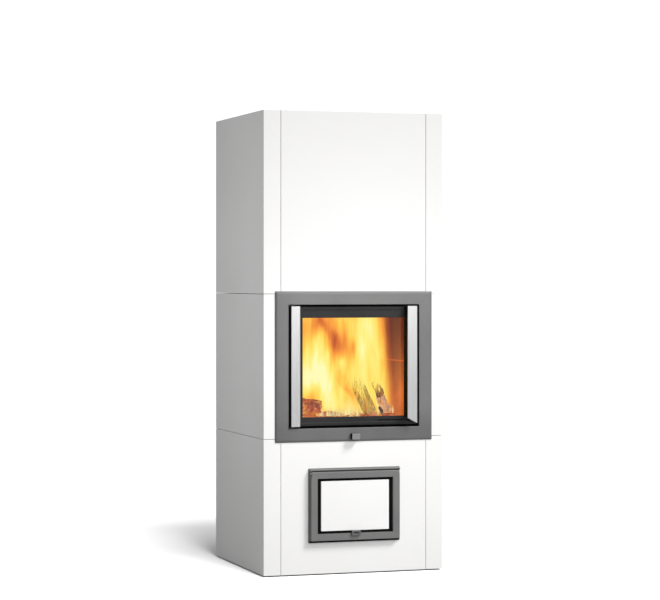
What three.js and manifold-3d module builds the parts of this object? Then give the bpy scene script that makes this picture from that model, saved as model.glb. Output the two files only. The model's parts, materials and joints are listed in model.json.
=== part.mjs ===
// Heat-retaining stove clad in large white slabs: a rectangular body in three
// courses, a glazed fire door in a grey facing frame, an air control under it,
// and a small flap door in front of an ash drawer.
//
// Units are millimetres. +Z is up, the front faces -Y, +X is to the right of
// someone looking at the front. The origin is the centre of the base, on the
// floor. Depths on the front are given as v, measured from the front face of
// the slabs: v < 0 stands proud of it, v > 0 is behind it.

import * as THREE from "three";
import { mergeVertices } from "three/addons/utils/BufferGeometryUtils.js";
import Module from "manifold-3d";

const wasm = await Module();
wasm.setup();

// ---------------------------------------------------------------- dimensions

const BODY_W = 777; // overall width
const BODY_D = 728; // overall depth
const BODY_H = 1900; // overall height
const COURSE_1 = 560; // joint between the lower and the middle course
const COURSE_2 = 1151; // joint between the middle and the upper course
const JOINT = 1.6; // width of a joint between slabs
const SIDE_T = 72.7; // thickness of a side slab
const FRONT_T = 60; // thickness of a front or back slab
const SLAB_CHAMFER = 1.5;

const GAP = 0.3; // clearance between pieces that rest on each other

const CORE_X = 314; // half width of the masonry core
const CORE_Y = 303; // half depth of the masonry core

const FLUE_Y = 100; // flue centre, behind the middle of the body
const FLUE_R_IN = 75; // 150 mm flue socket
const FLUE_R_OUT = 80;

// fire door
const FRAME_X = 340.5; // facing frame, half width
const FRAME_Z = [545, 1162];
const FRAME_IN_X = 283.5;
const FRAME_IN_Z = [601.3, 1107.3];
const FRAME_PROUD = 6;
const LEAF_X = 278.5;
const LEAF_Z = [609.5, 1099.5];
const LEAF_V = [4, 26];
const WINDOW_X = 222.4;
const WINDOW_Z = [646.5, 1052.7];
const DOOR_PIVOT = { x: -267, v: -4 };
const PIN_R = 2.5;
const BORE_R = 2.8;
const STRIP_X = [-274.8, -236.2];
const STRIP_V = [-15.5, 3.7];
const HANDLE_X = [223, 265.7];
const HANDLE_V = [-32, 6.7];
const HANDLE_TOP = 1100.5;
const HANDLE_LOW_LEFT = 638.4; // lower end, cut obliquely
const HANDLE_LOW_RIGHT = 616.2;

// air control
const TAB = { x: 17.3, v: [-28, -7], z: [553.5, 578] };
const ROD = { x: 7, z: [564, 569] };

// ash door
const CASE_X = 194.5;
const CASE_Z = [136.5, 433.6];
const CASE_V = -22;
const FLAP_X = 188.3;
const FLAP_Z = [144.5, 424.2];
const FLAP_V = [-23, -10];
const FLAP_IN_X = 163;
const FLAP_IN_Z = [172, 396];
const FLAP_PIVOT = { v: -16.5, z: 417 };
const PANEL_X = 147.8;
const PANEL_Z = [182, 387];

// ash compartment
const LINER_X = 181;
const LINER_Z = [146.5, 413];
const LINER_BACK = 110;
const SHEET = 2.5;
const CHUTE_X = 74.5;
const CHUTE_Y = [-94.5, 54.5];
const DRAWER_X = 150;
const DRAWER_Y = [-320, 80];
const DRAWER_Z = [149.6, 262];

// firebox
const MOUTH_X = 232;
const MOUTH_Z = [637, 1063];
const BRICK_X = [236, 286];
const BRICK_TOP = 1085;

const FRONT = -BODY_D / 2; // Y of the front face of the slabs
const Y = (v) => FRONT + v;

// ------------------------------------------------------------------- helpers

// A closed three.js geometry as a solid that can be joined and cut.
function solid(geometry) {
  const g = geometry.index ? geometry.toNonIndexed() : geometry.clone();
  g.deleteAttribute("normal");
  g.deleteAttribute("uv");
  const m = mergeVertices(g, 1e-4);
  return new wasm.Manifold(
    new wasm.Mesh({
      numProp: 3,
      vertProperties: new Float32Array(m.attributes.position.array),
      triVerts: new Uint32Array(m.index.array),
    }),
  );
}

function geometryOf(manifold) {
  const m = manifold.getMesh();
  const g = new THREE.BufferGeometry();
  const p = new Float32Array(m.numVert * 3);
  for (let i = 0; i < m.numVert; i++)
    for (let k = 0; k < 3; k++) p[3 * i + k] = m.vertProperties[m.numProp * i + k];
  g.setAttribute("position", new THREE.BufferAttribute(p, 3));
  g.setIndex(new THREE.BufferAttribute(new Uint32Array(m.triVerts), 1));
  const flat = g.toNonIndexed();
  flat.computeVertexNormals();
  return flat;
}

// Box between two corners.
function block(x0, x1, y0, y1, z0, z1) {
  return solid(
    new THREE.BoxGeometry(x1 - x0, y1 - y0, z1 - z0).translate(
      (x0 + x1) / 2,
      (y0 + y1) / 2,
      (z0 + z1) / 2,
    ),
  );
}

// Rectangle with its corners cut by c, as points.
function cutRectangle(x0, x1, y0, y1, c) {
  return [
    [x0 + c, y0],
    [x1 - c, y0],
    [x1, y0 + c],
    [x1, y1 - c],
    [x1 - c, y1],
    [x0 + c, y1],
    [x0, y1 - c],
    [x0, y0 + c],
  ];
}

function shapeOf(points) {
  return new THREE.Shape(points.map(([x, y]) => new THREE.Vector2(x, y)));
}

// Box with every edge chamfered by c.
function slab(x0, x1, y0, y1, z0, z1, c = SLAB_CHAMFER) {
  const g = new THREE.ExtrudeGeometry(
    shapeOf(cutRectangle(x0 + c, x1 - c, y0 + c, y1 - c, c * 0.4)),
    {
      depth: z1 - z0 - 2 * c,
      bevelEnabled: true,
      bevelThickness: c,
      bevelSize: c,
      bevelSegments: 1,
      steps: 1,
      curveSegments: 1,
    },
  );
  return solid(g.translate(0, 0, z0 + c));
}

// Prism whose outline lies in X-Z and whose length runs along Y.
function prismXZ(points, y0, y1) {
  const g = new THREE.ExtrudeGeometry(shapeOf(points), {
    depth: y1 - y0,
    bevelEnabled: false,
  });
  return solid(g.rotateX(Math.PI / 2).translate(0, y1, 0));
}

// Prism whose outline lies in X-Y and whose length runs along Z.
function prismXY(points, z0, z1) {
  const g = new THREE.ExtrudeGeometry(shapeOf(points), {
    depth: z1 - z0,
    bevelEnabled: false,
  });
  return solid(g.translate(0, 0, z0));
}

// Prism whose outline lies in Y-Z and whose length runs along X.
function prismYZ(points, x0, x1) {
  const g = new THREE.ExtrudeGeometry(shapeOf(points), {
    depth: x1 - x0,
    bevelEnabled: false,
  });
  const basis = new THREE.Matrix4().makeBasis(
    new THREE.Vector3(0, 1, 0),
    new THREE.Vector3(0, 0, 1),
    new THREE.Vector3(1, 0, 0),
  );
  return solid(g.applyMatrix4(basis).translate(x0, 0, 0));
}

// Plate in X-Z with rounded or chamfered front edges: bevel runs w inward and
// d deep, on the side that faces -Y only.
function frontBevelPlate(x0, x1, z0, z1, v0, v1, w, d, segments) {
  const g = new THREE.ExtrudeGeometry(
    shapeOf([
      [x0 + w, z0 + w],
      [x1 - w, z0 + w],
      [x1 - w, z1 - w],
      [x0 + w, z1 - w],
    ]),
    {
      depth: 20,
      bevelEnabled: true,
      bevelThickness: d,
      bevelSize: w,
      bevelSegments: segments,
      steps: 1,
    },
  );
  // front of the bevelled prism at Y(v0), its far side cut off at Y(v1)
  const s = solid(g.rotateX(Math.PI / 2).translate(0, Y(v0) + d + 20, 0));
  return s.intersect(block(x0 - 1, x1 + 1, Y(v0) - 1, Y(v1), z0 - 1, z1 + 1));
}

function ringXZ(ox, oz, ix, iz, v0, v1) {
  return block(-ox, ox, Y(v0), Y(v1), oz[0], oz[1]).subtract(
    block(-ix, ix, Y(v0) - 1, Y(v1) + 1, iz[0], iz[1]),
  );
}

function cylinderZ(r, x, y, z0, z1, n = 24) {
  return solid(
    new THREE.CylinderGeometry(r, r, z1 - z0, n)
      .rotateX(Math.PI / 2)
      .translate(x, y, (z0 + z1) / 2),
  );
}

function cylinderX(r, y, z, x0, x1, n = 24) {
  return solid(
    new THREE.CylinderGeometry(r, r, x1 - x0, n)
      .rotateZ(Math.PI / 2)
      .translate((x0 + x1) / 2, y, z),
  );
}

function cylinderY(r, x, z, y0, y1, n = 24) {
  return solid(
    new THREE.CylinderGeometry(r, r, y1 - y0, n).translate(x, (y0 + y1) / 2, z),
  );
}

const group = new THREE.Group();

const finish = {
  slab: { color: 0xf4f3f0, roughness: 0.42, metalness: 0.0 },
  masonry: { color: 0xa9a49b, roughness: 0.95, metalness: 0.0 },
  firebrick: { color: 0xc9a37c, roughness: 0.9, metalness: 0.0 },
  greyPaint: { color: 0x7b7b7a, roughness: 0.55, metalness: 0.25 },
  blackPaint: { color: 0x1b1b1c, roughness: 0.5, metalness: 0.3 },
  brushed: { color: 0xd6d6d8, roughness: 0.32, metalness: 0.9 },
  glass: { color: 0x1d1a18, roughness: 0.05, metalness: 0.0 },
  castIron: { color: 0x2d2c2b, roughness: 0.75, metalness: 0.5 },
  sheet: { color: 0x5b5b5c, roughness: 0.5, metalness: 0.7 },
  steel: { color: 0x9a9a9c, roughness: 0.35, metalness: 0.9 },
  rope: { color: 0x8d8a82, roughness: 1.0, metalness: 0.0 },
};

function add(name, manifold, look) {
  const mesh = new THREE.Mesh(
    geometryOf(manifold),
    new THREE.MeshStandardMaterial(finish[look]),
  );
  mesh.name = name;
  group.add(mesh);
}

// -------------------------------------------------------------------- casing

const halfW = BODY_W / 2;
const halfD = BODY_D / 2;
const inner = halfW - SIDE_T; // inner face of the side slabs
const frontX = inner - JOINT; // half width of front and back slabs
const courses = {
  lower: [0, COURSE_1 - JOINT / 2],
  middle: [COURSE_1 + JOINT / 2, COURSE_2 - JOINT / 2],
  upper: [COURSE_2 + JOINT / 2, BODY_H],
};

add("base_slab", block(-CORE_X, CORE_X, -CORE_Y, CORE_Y, 0, 50), "masonry");

for (const [course, [z0, z1]] of Object.entries(courses)) {
  add(`${course}_side_slab_left`, slab(-halfW, -inner, -halfD, halfD, z0, z1), "slab");
  add(`${course}_side_slab_right`, slab(inner, halfW, -halfD, halfD, z0, z1), "slab");
  add(`${course}_back_slab`, slab(-frontX, frontX, halfD - FRONT_T, halfD, z0, z1), "slab");
  let front = slab(-frontX, frontX, -halfD, -halfD + FRONT_T, z0, z1);
  if (course === "lower")
    front = front.subtract(block(-181.5, 181.5, -halfD - 1, -halfD + FRONT_T + 1, 146, 413.5));
  if (course === "middle")
    front = front
      .subtract(block(-291, 291, -halfD - 1, -halfD + FRONT_T + 1, 593.5, 1115))
      .subtract(block(-12, 12, -halfD - 1, -halfD + FRONT_T + 1, z0 - 1, 574));
  add(`${course}_front_slab`, front, "slab");
}

add(
  "top_cover",
  slab(-CORE_X, CORE_X, -CORE_Y, CORE_Y, 1860, 1895).subtract(
    cylinderZ(FLUE_R_OUT + 1, 0, FLUE_Y, 1859, 1896, 40),
  ),
  "slab",
);

{
  const profile = [
    [FLUE_R_IN, 1790],
    [FLUE_R_OUT, 1790],
    [FLUE_R_OUT, 1895.3],
    [FLUE_R_OUT + 20, 1895.3],
    [FLUE_R_OUT + 20, 1898.3],
    [FLUE_R_IN, 1898.3],
    [FLUE_R_IN, 1790],
  ].map(([r, z]) => new THREE.Vector2(r, z));
  const g = new THREE.LatheGeometry(profile, 40).rotateX(Math.PI / 2).translate(0, FLUE_Y, 0);
  let s = solid(g);
  if (s.volume() < 0) {
    const back = new THREE.LatheGeometry(profile.reverse(), 40)
      .rotateX(Math.PI / 2)
      .translate(0, FLUE_Y, 0);
    s = solid(back);
  }
  add("flue_collar", s, "sheet");
}

// ---------------------------------------------------------------- heat store

{
  const ring = (z0, z1) =>
    block(-312, 312, -290, 290, z0, z1).subtract(block(-262, 262, -240, 240, z0 - 1, z1 + 1));
  const socket = (y0, y1, z0, z1) =>
    block(-274, 274, y0 - GAP, y1 + GAP, z0 - GAP, z1 + GAP);
  // the lower ring stands on the firebricks; its front wall bridges the mouth
  add(
    "heat_store_ring_lower",
    ring(BRICK_TOP + GAP, 1450).subtract(socket(-239.7, 90, 1250, 1400)),
    "masonry",
  );
  add(
    "heat_store_ring_upper",
    ring(1450.3, 1800).subtract(socket(-90, 239.7, 1520, 1660)),
    "masonry",
  );
  add("cross_block_lower", block(-273.4, 273.4, -239.7, 90, 1250, 1400), "masonry");
  add("cross_block_upper", block(-273.4, 273.4, -90, 239.7, 1520, 1660), "masonry");
  add(
    "heat_store_cap",
    block(-312, 312, -290, 290, 1800.3, 1859.4).subtract(
      cylinderZ(FLUE_R_OUT + 1, 0, FLUE_Y, 1799, 1861, 40),
    ),
    "masonry",
  );
}

// ------------------------------------------------------------------- firebox

// slab that carries the firebox, with the ash chute and the air duct through it
add(
  "bearing_slab",
  block(-CORE_X, CORE_X, -CORE_Y, CORE_Y, 541, 594)
    .subtract(block(-CHUTE_X - 0.5, CHUTE_X + 0.5, CHUTE_Y[0] - 0.5, CHUTE_Y[1] + 0.5, 540, 595))
    .subtract(block(-62, 62, -CORE_Y - 1, -200, 556, 595))
    .subtract(block(-40, 40, -256, -214, 540, 560)),
  "masonry",
);
add(
  "firebox_floor",
  block(-290, 290, -284, 290, 594 + GAP, 636)
    .subtract(block(-75, 75, -95, 55, 590, 640))
    .subtract(block(-85, 85, -105, 65, 621.7, 640)),
  "firebrick",
);
{
  let grate = block(-84.5, 84.5, -104.5, 64.5, 622, 635.5);
  for (let i = 0; i < 8; i++) {
    const x = -63 + i * 18;
    grate = grate.subtract(block(x - 4.5, x + 4.5, -90, 50, 620, 640));
  }
  add("grate", grate, "castIron");
}
add("firebrick_left", slab(-BRICK_X[1], -BRICK_X[0], -284, 180, 636.3, BRICK_TOP, 3), "firebrick");
add("firebrick_right", slab(BRICK_X[0], BRICK_X[1], -284, 180, 636.3, BRICK_TOP, 3), "firebrick");
add("firebrick_back", slab(-BRICK_X[0] + GAP, BRICK_X[0] - GAP, 130, 180, 636.3, BRICK_TOP, 3), "firebrick");
add("firebox_back_block", block(-BRICK_X[1], BRICK_X[1], 180.3, 290, 636.3, BRICK_TOP), "masonry");
add("baffle_plate", block(-261.7, 261.7, -165, 239.7, BRICK_TOP + GAP, 1115), "firebrick");

// ----------------------------------------------------------- ash compartment

add(
  "core_base_block",
  block(-CORE_X, CORE_X, -CORE_Y, CORE_Y, 50 + GAP, 540.7).subtract(
    block(-200.7, 200.7, -CORE_Y - 1, 124.7, 146, 545),
  ),
  "masonry",
);
add(
  "ash_liner",
  block(-LINER_X, LINER_X, Y(5), LINER_BACK, LINER_Z[0], LINER_Z[1])
    .subtract(
      block(
        -LINER_X + SHEET,
        LINER_X - SHEET,
        Y(4),
        LINER_BACK - SHEET,
        LINER_Z[0] + SHEET,
        LINER_Z[1] - SHEET,
      ),
    )
    .subtract(block(-72, 72, -92, 52, 400, 420)),
  "sheet",
);
add(
  "ash_chute",
  block(-CHUTE_X, CHUTE_X, CHUTE_Y[0], CHUTE_Y[1], LINER_Z[1] + GAP, 593.7).subtract(
    block(-72, 72, -92, 52, 400, 600),
  ),
  "sheet",
);
{
  const t = 2;
  const [y0, y1] = DRAWER_Y;
  const [z0, z1] = DRAWER_Z;
  const tray = block(-DRAWER_X, DRAWER_X, y0, y1, z0, z1).subtract(
    block(-DRAWER_X + t, DRAWER_X - t, y0 + t, y1 - t, z0 + t, z1 + 1),
  );
  add("ash_drawer", tray, "sheet");
  // bow handle on the drawer's front: two feet and a bar
  const outline = [
    [-45, y0 - GAP],
    [-45, y0 - 16],
    [-39, y0 - 18],
    [39, y0 - 18],
    [45, y0 - 16],
    [45, y0 - GAP],
    [39, y0 - GAP],
    [39, y0 - 13],
    [-39, y0 - 13],
    [-39, y0 - GAP],
  ];
  add("ash_drawer_handle", prismXY(outline.reverse(), 205, 217), "steel");
}

// ------------------------------------------------------------------ ash door

{
  // fixed casing: wall flange, box that is deepest round the hinge, and the flange
  // the leaf shuts on
  const flange = ringXZ(198.5, [132.5, 437.6], 182, [148, 412], -2.5, -0.3);
  const lip = ringXZ(CASE_X, CASE_Z, 189.3, [142.5, 429.2], CASE_V, -2.4).subtract(
    block(-200, 200, Y(-30), Y(-14), 130, 405),
  );
  const stop = ringXZ(189.4, [142.4, 429.3], 182, [148, 412], -5.7, -0.3);
  add(
    "ash_door_casing",
    flange
      .add(lip)
      .add(stop)
      .subtract(cylinderX(BORE_R, Y(FLAP_PIVOT.v), FLAP_PIVOT.z, -200, 200, 20)),
    "greyPaint",
  );

  const plate = frontBevelPlate(
    -FLAP_X,
    FLAP_X,
    FLAP_Z[0],
    FLAP_Z[1],
    FLAP_V[0],
    FLAP_V[1],
    2,
    2,
    1,
  );
  const rim = block(-172, 172, Y(-10.5), Y(8), 160, 404);
  const inside = block(-FLAP_IN_X, FLAP_IN_X, Y(-40), Y(20), FLAP_IN_Z[0], FLAP_IN_Z[1]);
  const bores = cylinderX(BORE_R, Y(FLAP_PIVOT.v), FLAP_PIVOT.z, -200, -175.5, 20).add(
    cylinderX(BORE_R, Y(FLAP_PIVOT.v), FLAP_PIVOT.z, 175.5, 200, 20),
  );
  add("ash_door_leaf", plate.add(rim).subtract(inside).subtract(bores), "greyPaint");
  add(
    "ash_door_panel",
    slab(-PANEL_X, PANEL_X, Y(-17), Y(-9), PANEL_Z[0], PANEL_Z[1], 1),
    "slab",
  );
  add(
    "ash_door_back_plate",
    block(-162.7, 162.7, Y(-8.7), Y(-6.7), 172.3, 395.7),
    "blackPaint",
  );

  // loop pull: a stem through the gap under the panel and a plate with an oval hole
  const loop = prismXZ(cutRectangle(-19.6, 19.6, 160, 186, 5), Y(-31), Y(-27)).subtract(
    prismXZ(cutRectangle(-10.5, 10.5, 167.5, 175, 3), Y(-40), Y(-20)),
  );
  const stem = block(-12, 12, Y(-27.5), Y(-9), 176.4, 181);
  add("ash_door_pull", loop.add(stem), "steel");

  for (const [side, s] of [["left", -1], ["right", 1]]) {
    const a = s < 0 ? -194.2 : 176;
    add(
      `ash_door_pin_${side}`,
      cylinderX(PIN_R, Y(FLAP_PIVOT.v), FLAP_PIVOT.z, a, a + 18.2, 20),
      "steel",
    );
  }
}

// ----------------------------------------------------------------- fire door

add(
  "facing_frame",
  frontBevelPlate(-FRAME_X, FRAME_X, FRAME_Z[0], FRAME_Z[1], -FRAME_PROUD, -0.3, 8, 5, 2)
    .subtract(block(-FRAME_IN_X, FRAME_IN_X, Y(-20), Y(5), FRAME_IN_Z[0], FRAME_IN_Z[1]))
    .subtract(block(-9, 9, Y(-20), Y(5), 562, 571)),
  "greyPaint",
);

add(
  "door_cassette",
  ringXZ(290, [594.4, 1114.2], 286.5, [597.9, 1110.7], 0.3, 69)
    .add(ringXZ(287, [597.5, 1111], MOUTH_X, MOUTH_Z, 37, 40.5))
    .subtract(cylinderY(8, 268, 855, Y(30), Y(50), 20)),
  "blackPaint",
);

{
  const { x, v } = DOOR_PIVOT;
  const up = block(-283, -256, Y(-9.5), Y(30), 1101.5, 1106.9)
    .add(block(-283, -256, Y(0), Y(30), 1106.5, 1110.4))
    .subtract(cylinderZ(BORE_R, x, Y(v), 1095, 1115, 20));
  add("hinge_bracket_upper", up, "blackPaint");
  const low = block(-283, -256, Y(-9.5), Y(30), 601.7, 607.1)
    .add(block(-283, -256, Y(0), Y(30), 598.2, 602.1))
    .subtract(cylinderZ(BORE_R, x, Y(v), 590, 612, 20));
  add("hinge_bracket_lower", low, "blackPaint");
  add("hinge_pin_upper", cylinderZ(PIN_R, x, Y(v), 1078, 1106.6, 20), "steel");
  add("hinge_pin_lower", cylinderZ(PIN_R, x, Y(v), 602, 631, 20), "steel");
  const bush = (z0, z1) =>
    block(-271.4, -239.6, Y(-12.2), Y(3.4), z0, z1).subtract(
      cylinderZ(BORE_R, x, Y(v), z0 - 1, z1 + 1, 20),
    );
  add("hinge_bush_upper", bush(1076, 1100), "steel");
  add("hinge_bush_lower", bush(610, 634), "steel");
}

{
  const [x0, x1] = STRIP_X;
  const [v0, v1] = STRIP_V;
  const t = 3;
  const outline = [
    [x0, Y(v0) + 1],
    [x0 + 1, Y(v0)],
    [x1 - 1.5, Y(v0)],
    [x1, Y(v0) + 1.5],
    [x1, Y(v1)],
    [x1 - t, Y(v1)],
    [x1 - t, Y(v0) + t],
    [x0 + t, Y(v0) + t],
    [x0 + t, Y(v1)],
    [x0, Y(v1)],
  ];
  add("trim_strip", prismXY(outline, LEAF_Z[0], 1100.5), "brushed");
}

add(
  "door_leaf",
  block(-LEAF_X, LEAF_X, Y(LEAF_V[0]), Y(LEAF_V[1]), LEAF_Z[0], LEAF_Z[1])
    .subtract(block(-LEAF_X + 14, LEAF_X - 14, Y(0), Y(7), LEAF_Z[0] + 14, LEAF_Z[1] - 14))
    .subtract(block(-WINDOW_X, WINDOW_X, Y(0), Y(40), WINDOW_Z[0], WINDOW_Z[1]))
    .subtract(block(-240, 240, Y(10), Y(40), 628, 1071)),
  "blackPaint",
);
add("door_glass", block(-237, 237, Y(10.3), Y(14.3), 631, 1068), "glass");
add("glass_gasket", ringXZ(237, [631, 1068], 227, [641, 1058], 14.6, 17.6), "rope");
add("glass_retainer", ringXZ(239.4, [628.6, 1070.4], 226, [642, 1057], 17.9, 20.9), "steel");

{
  // seal rope on the back of the leaf, a rounded ring
  const shape = new THREE.Shape();
  const rounded = (path, hx, z0, z1, r) => {
    path.moveTo(-hx + r, z0);
    path.lineTo(hx - r, z0);
    path.absarc(hx - r, z0 + r, r, -Math.PI / 2, 0, false);
    path.lineTo(hx, z1 - r);
    path.absarc(hx - r, z1 - r, r, 0, Math.PI / 2, false);
    path.lineTo(-hx + r, z1);
    path.absarc(-hx + r, z1 - r, r, Math.PI / 2, Math.PI, false);
    path.lineTo(-hx, z0 + r);
    path.absarc(-hx + r, z0 + r, r, Math.PI, 1.5 * Math.PI, false);
  };
  const b = 2.6;
  rounded(shape, 251 - b, 618 + b, 1082 - b, 15);
  const hole = new THREE.Path();
  rounded(hole, 241 + b, 628 - b, 1072 + b, 12);
  shape.holes.push(hole);
  const g = new THREE.ExtrudeGeometry(shape, {
    depth: 10.2 - 2 * b,
    bevelEnabled: true,
    bevelThickness: b,
    bevelSize: b,
    bevelSegments: 2,
    curveSegments: 4,
  });
  add("door_rope_seal", solid(g.rotateX(Math.PI / 2).translate(0, Y(36.6) - b, 0)), "rope");
}

{
  const [x0, x1] = HANDLE_X;
  const [v0, v1] = HANDLE_V;
  const t = 3.5;
  const outline = [
    [x0 + 1, Y(v0)],
    [x1 - 1.2, Y(v0)],
    [x1, Y(v0) + 1.2],
    [x1, Y(v0) + t],
    [x0 + t, Y(v0) + t],
    [x0 + t, Y(v1) - 3],
    [252, Y(v1) - 3],
    [252, Y(v1)],
    [x0, Y(v1)],
    [x0, Y(v0) + 1],
  ];
  const slope = (HANDLE_LOW_RIGHT - HANDLE_LOW_LEFT) / (x1 - x0);
  const lowAt = (x) => HANDLE_LOW_LEFT + slope * (x - x0);
  const wedge = prismXZ(
    [
      [x0 - 20, lowAt(x0 - 20)],
      [x0 - 20, 500],
      [x1 + 20, 500],
      [x1 + 20, lowAt(x1 + 20)],
    ],
    Y(-60),
    Y(30),
  );
  // the foot and the web stop short of the leaf's raised border at either end
  const top = block(x0 - 1, x1 + 1, Y(LEAF_V[0] - GAP), Y(10), LEAF_Z[1] - 14 - GAP, 1110);
  const low = block(x0 - 1, x1 + 1, Y(LEAF_V[0] - GAP), Y(10), 600, LEAF_Z[0] + 20);
  add(
    "door_handle",
    prismXY(outline, 600, HANDLE_TOP).subtract(wedge).subtract(top).subtract(low),
    "brushed",
  );
}

{
  // catch: a stud on the leaf goes between the jaws of a clip on the cassette
  const stud = cylinderY(3.5, 268, 855, Y(26 + GAP), Y(51), 16).add(
    cylinderY(5, 268, 855, Y(50), Y(56), 16),
  );
  add("catch_stud", stud, "steel");
  const clip = prismYZ(
    [
      [Y(40.8), 876],
      [Y(40.8), 862],
      [Y(60), 862],
      [Y(60), 848],
      [Y(40.8), 848],
      [Y(40.8), 834],
      [Y(42.3), 834],
      [Y(42.3), 846.5],
      [Y(61.5), 846.5],
      [Y(61.5), 863.5],
      [Y(42.3), 863.5],
      [Y(42.3), 876],
    ],
    260,
    276,
  );
  add("catch_clip", clip, "steel");
}

// --------------------------------------------------------------- air control

add(
  "air_control_tab",
  slab(-TAB.x, TAB.x, Y(TAB.v[0]), Y(TAB.v[1]), TAB.z[0], TAB.z[1], 0.8),
  "greyPaint",
);
add(
  "air_shutter",
  block(-ROD.x, ROD.x, Y(TAB.v[1] + GAP), Y(114), ROD.z[0], ROD.z[1])
    .add(block(-50, 50, Y(100), Y(158), 560.5, 562.5))
    .add(block(-ROD.x, ROD.x, Y(104), Y(114), 561.5, 565)),
  "sheet",
);
add(
  "air_channel",
  block(-60, 60, Y(62), Y(162), 558, 593)
    .subtract(block(-58, 58, Y(61), Y(160), 560, 600))
    .subtract(block(-38, 38, Y(110), Y(148), 550, 565)),
  "sheet",
);

export default group;
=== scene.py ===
import json
import math
import random

import bmesh
import bpy
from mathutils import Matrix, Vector

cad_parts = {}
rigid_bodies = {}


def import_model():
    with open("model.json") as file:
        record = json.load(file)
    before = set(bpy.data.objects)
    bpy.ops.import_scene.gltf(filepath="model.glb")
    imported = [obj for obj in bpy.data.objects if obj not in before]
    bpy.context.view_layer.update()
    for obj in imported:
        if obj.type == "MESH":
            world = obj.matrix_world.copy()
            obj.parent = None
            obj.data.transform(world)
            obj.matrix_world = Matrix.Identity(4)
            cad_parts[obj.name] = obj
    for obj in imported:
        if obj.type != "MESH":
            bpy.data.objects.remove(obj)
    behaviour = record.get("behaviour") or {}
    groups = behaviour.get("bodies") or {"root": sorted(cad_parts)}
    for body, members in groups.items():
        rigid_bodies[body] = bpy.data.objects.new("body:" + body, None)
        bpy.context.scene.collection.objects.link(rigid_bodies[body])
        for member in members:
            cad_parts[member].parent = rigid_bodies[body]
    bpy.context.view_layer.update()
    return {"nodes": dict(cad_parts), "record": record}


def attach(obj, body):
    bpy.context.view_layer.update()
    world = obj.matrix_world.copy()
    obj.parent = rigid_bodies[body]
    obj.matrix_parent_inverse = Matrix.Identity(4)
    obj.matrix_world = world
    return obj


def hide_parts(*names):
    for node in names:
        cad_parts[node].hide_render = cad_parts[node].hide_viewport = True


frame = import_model()
scene = bpy.context.scene

# Lengths below are in millimetres unless a name ends in _m. The front face of
# the slabs is at y = -364, and v is the depth behind that face.
MM = 0.001
FRONT = -364.0


def Y(v):
    return FRONT + v


# ------------------------------------------------------------------ materials


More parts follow.
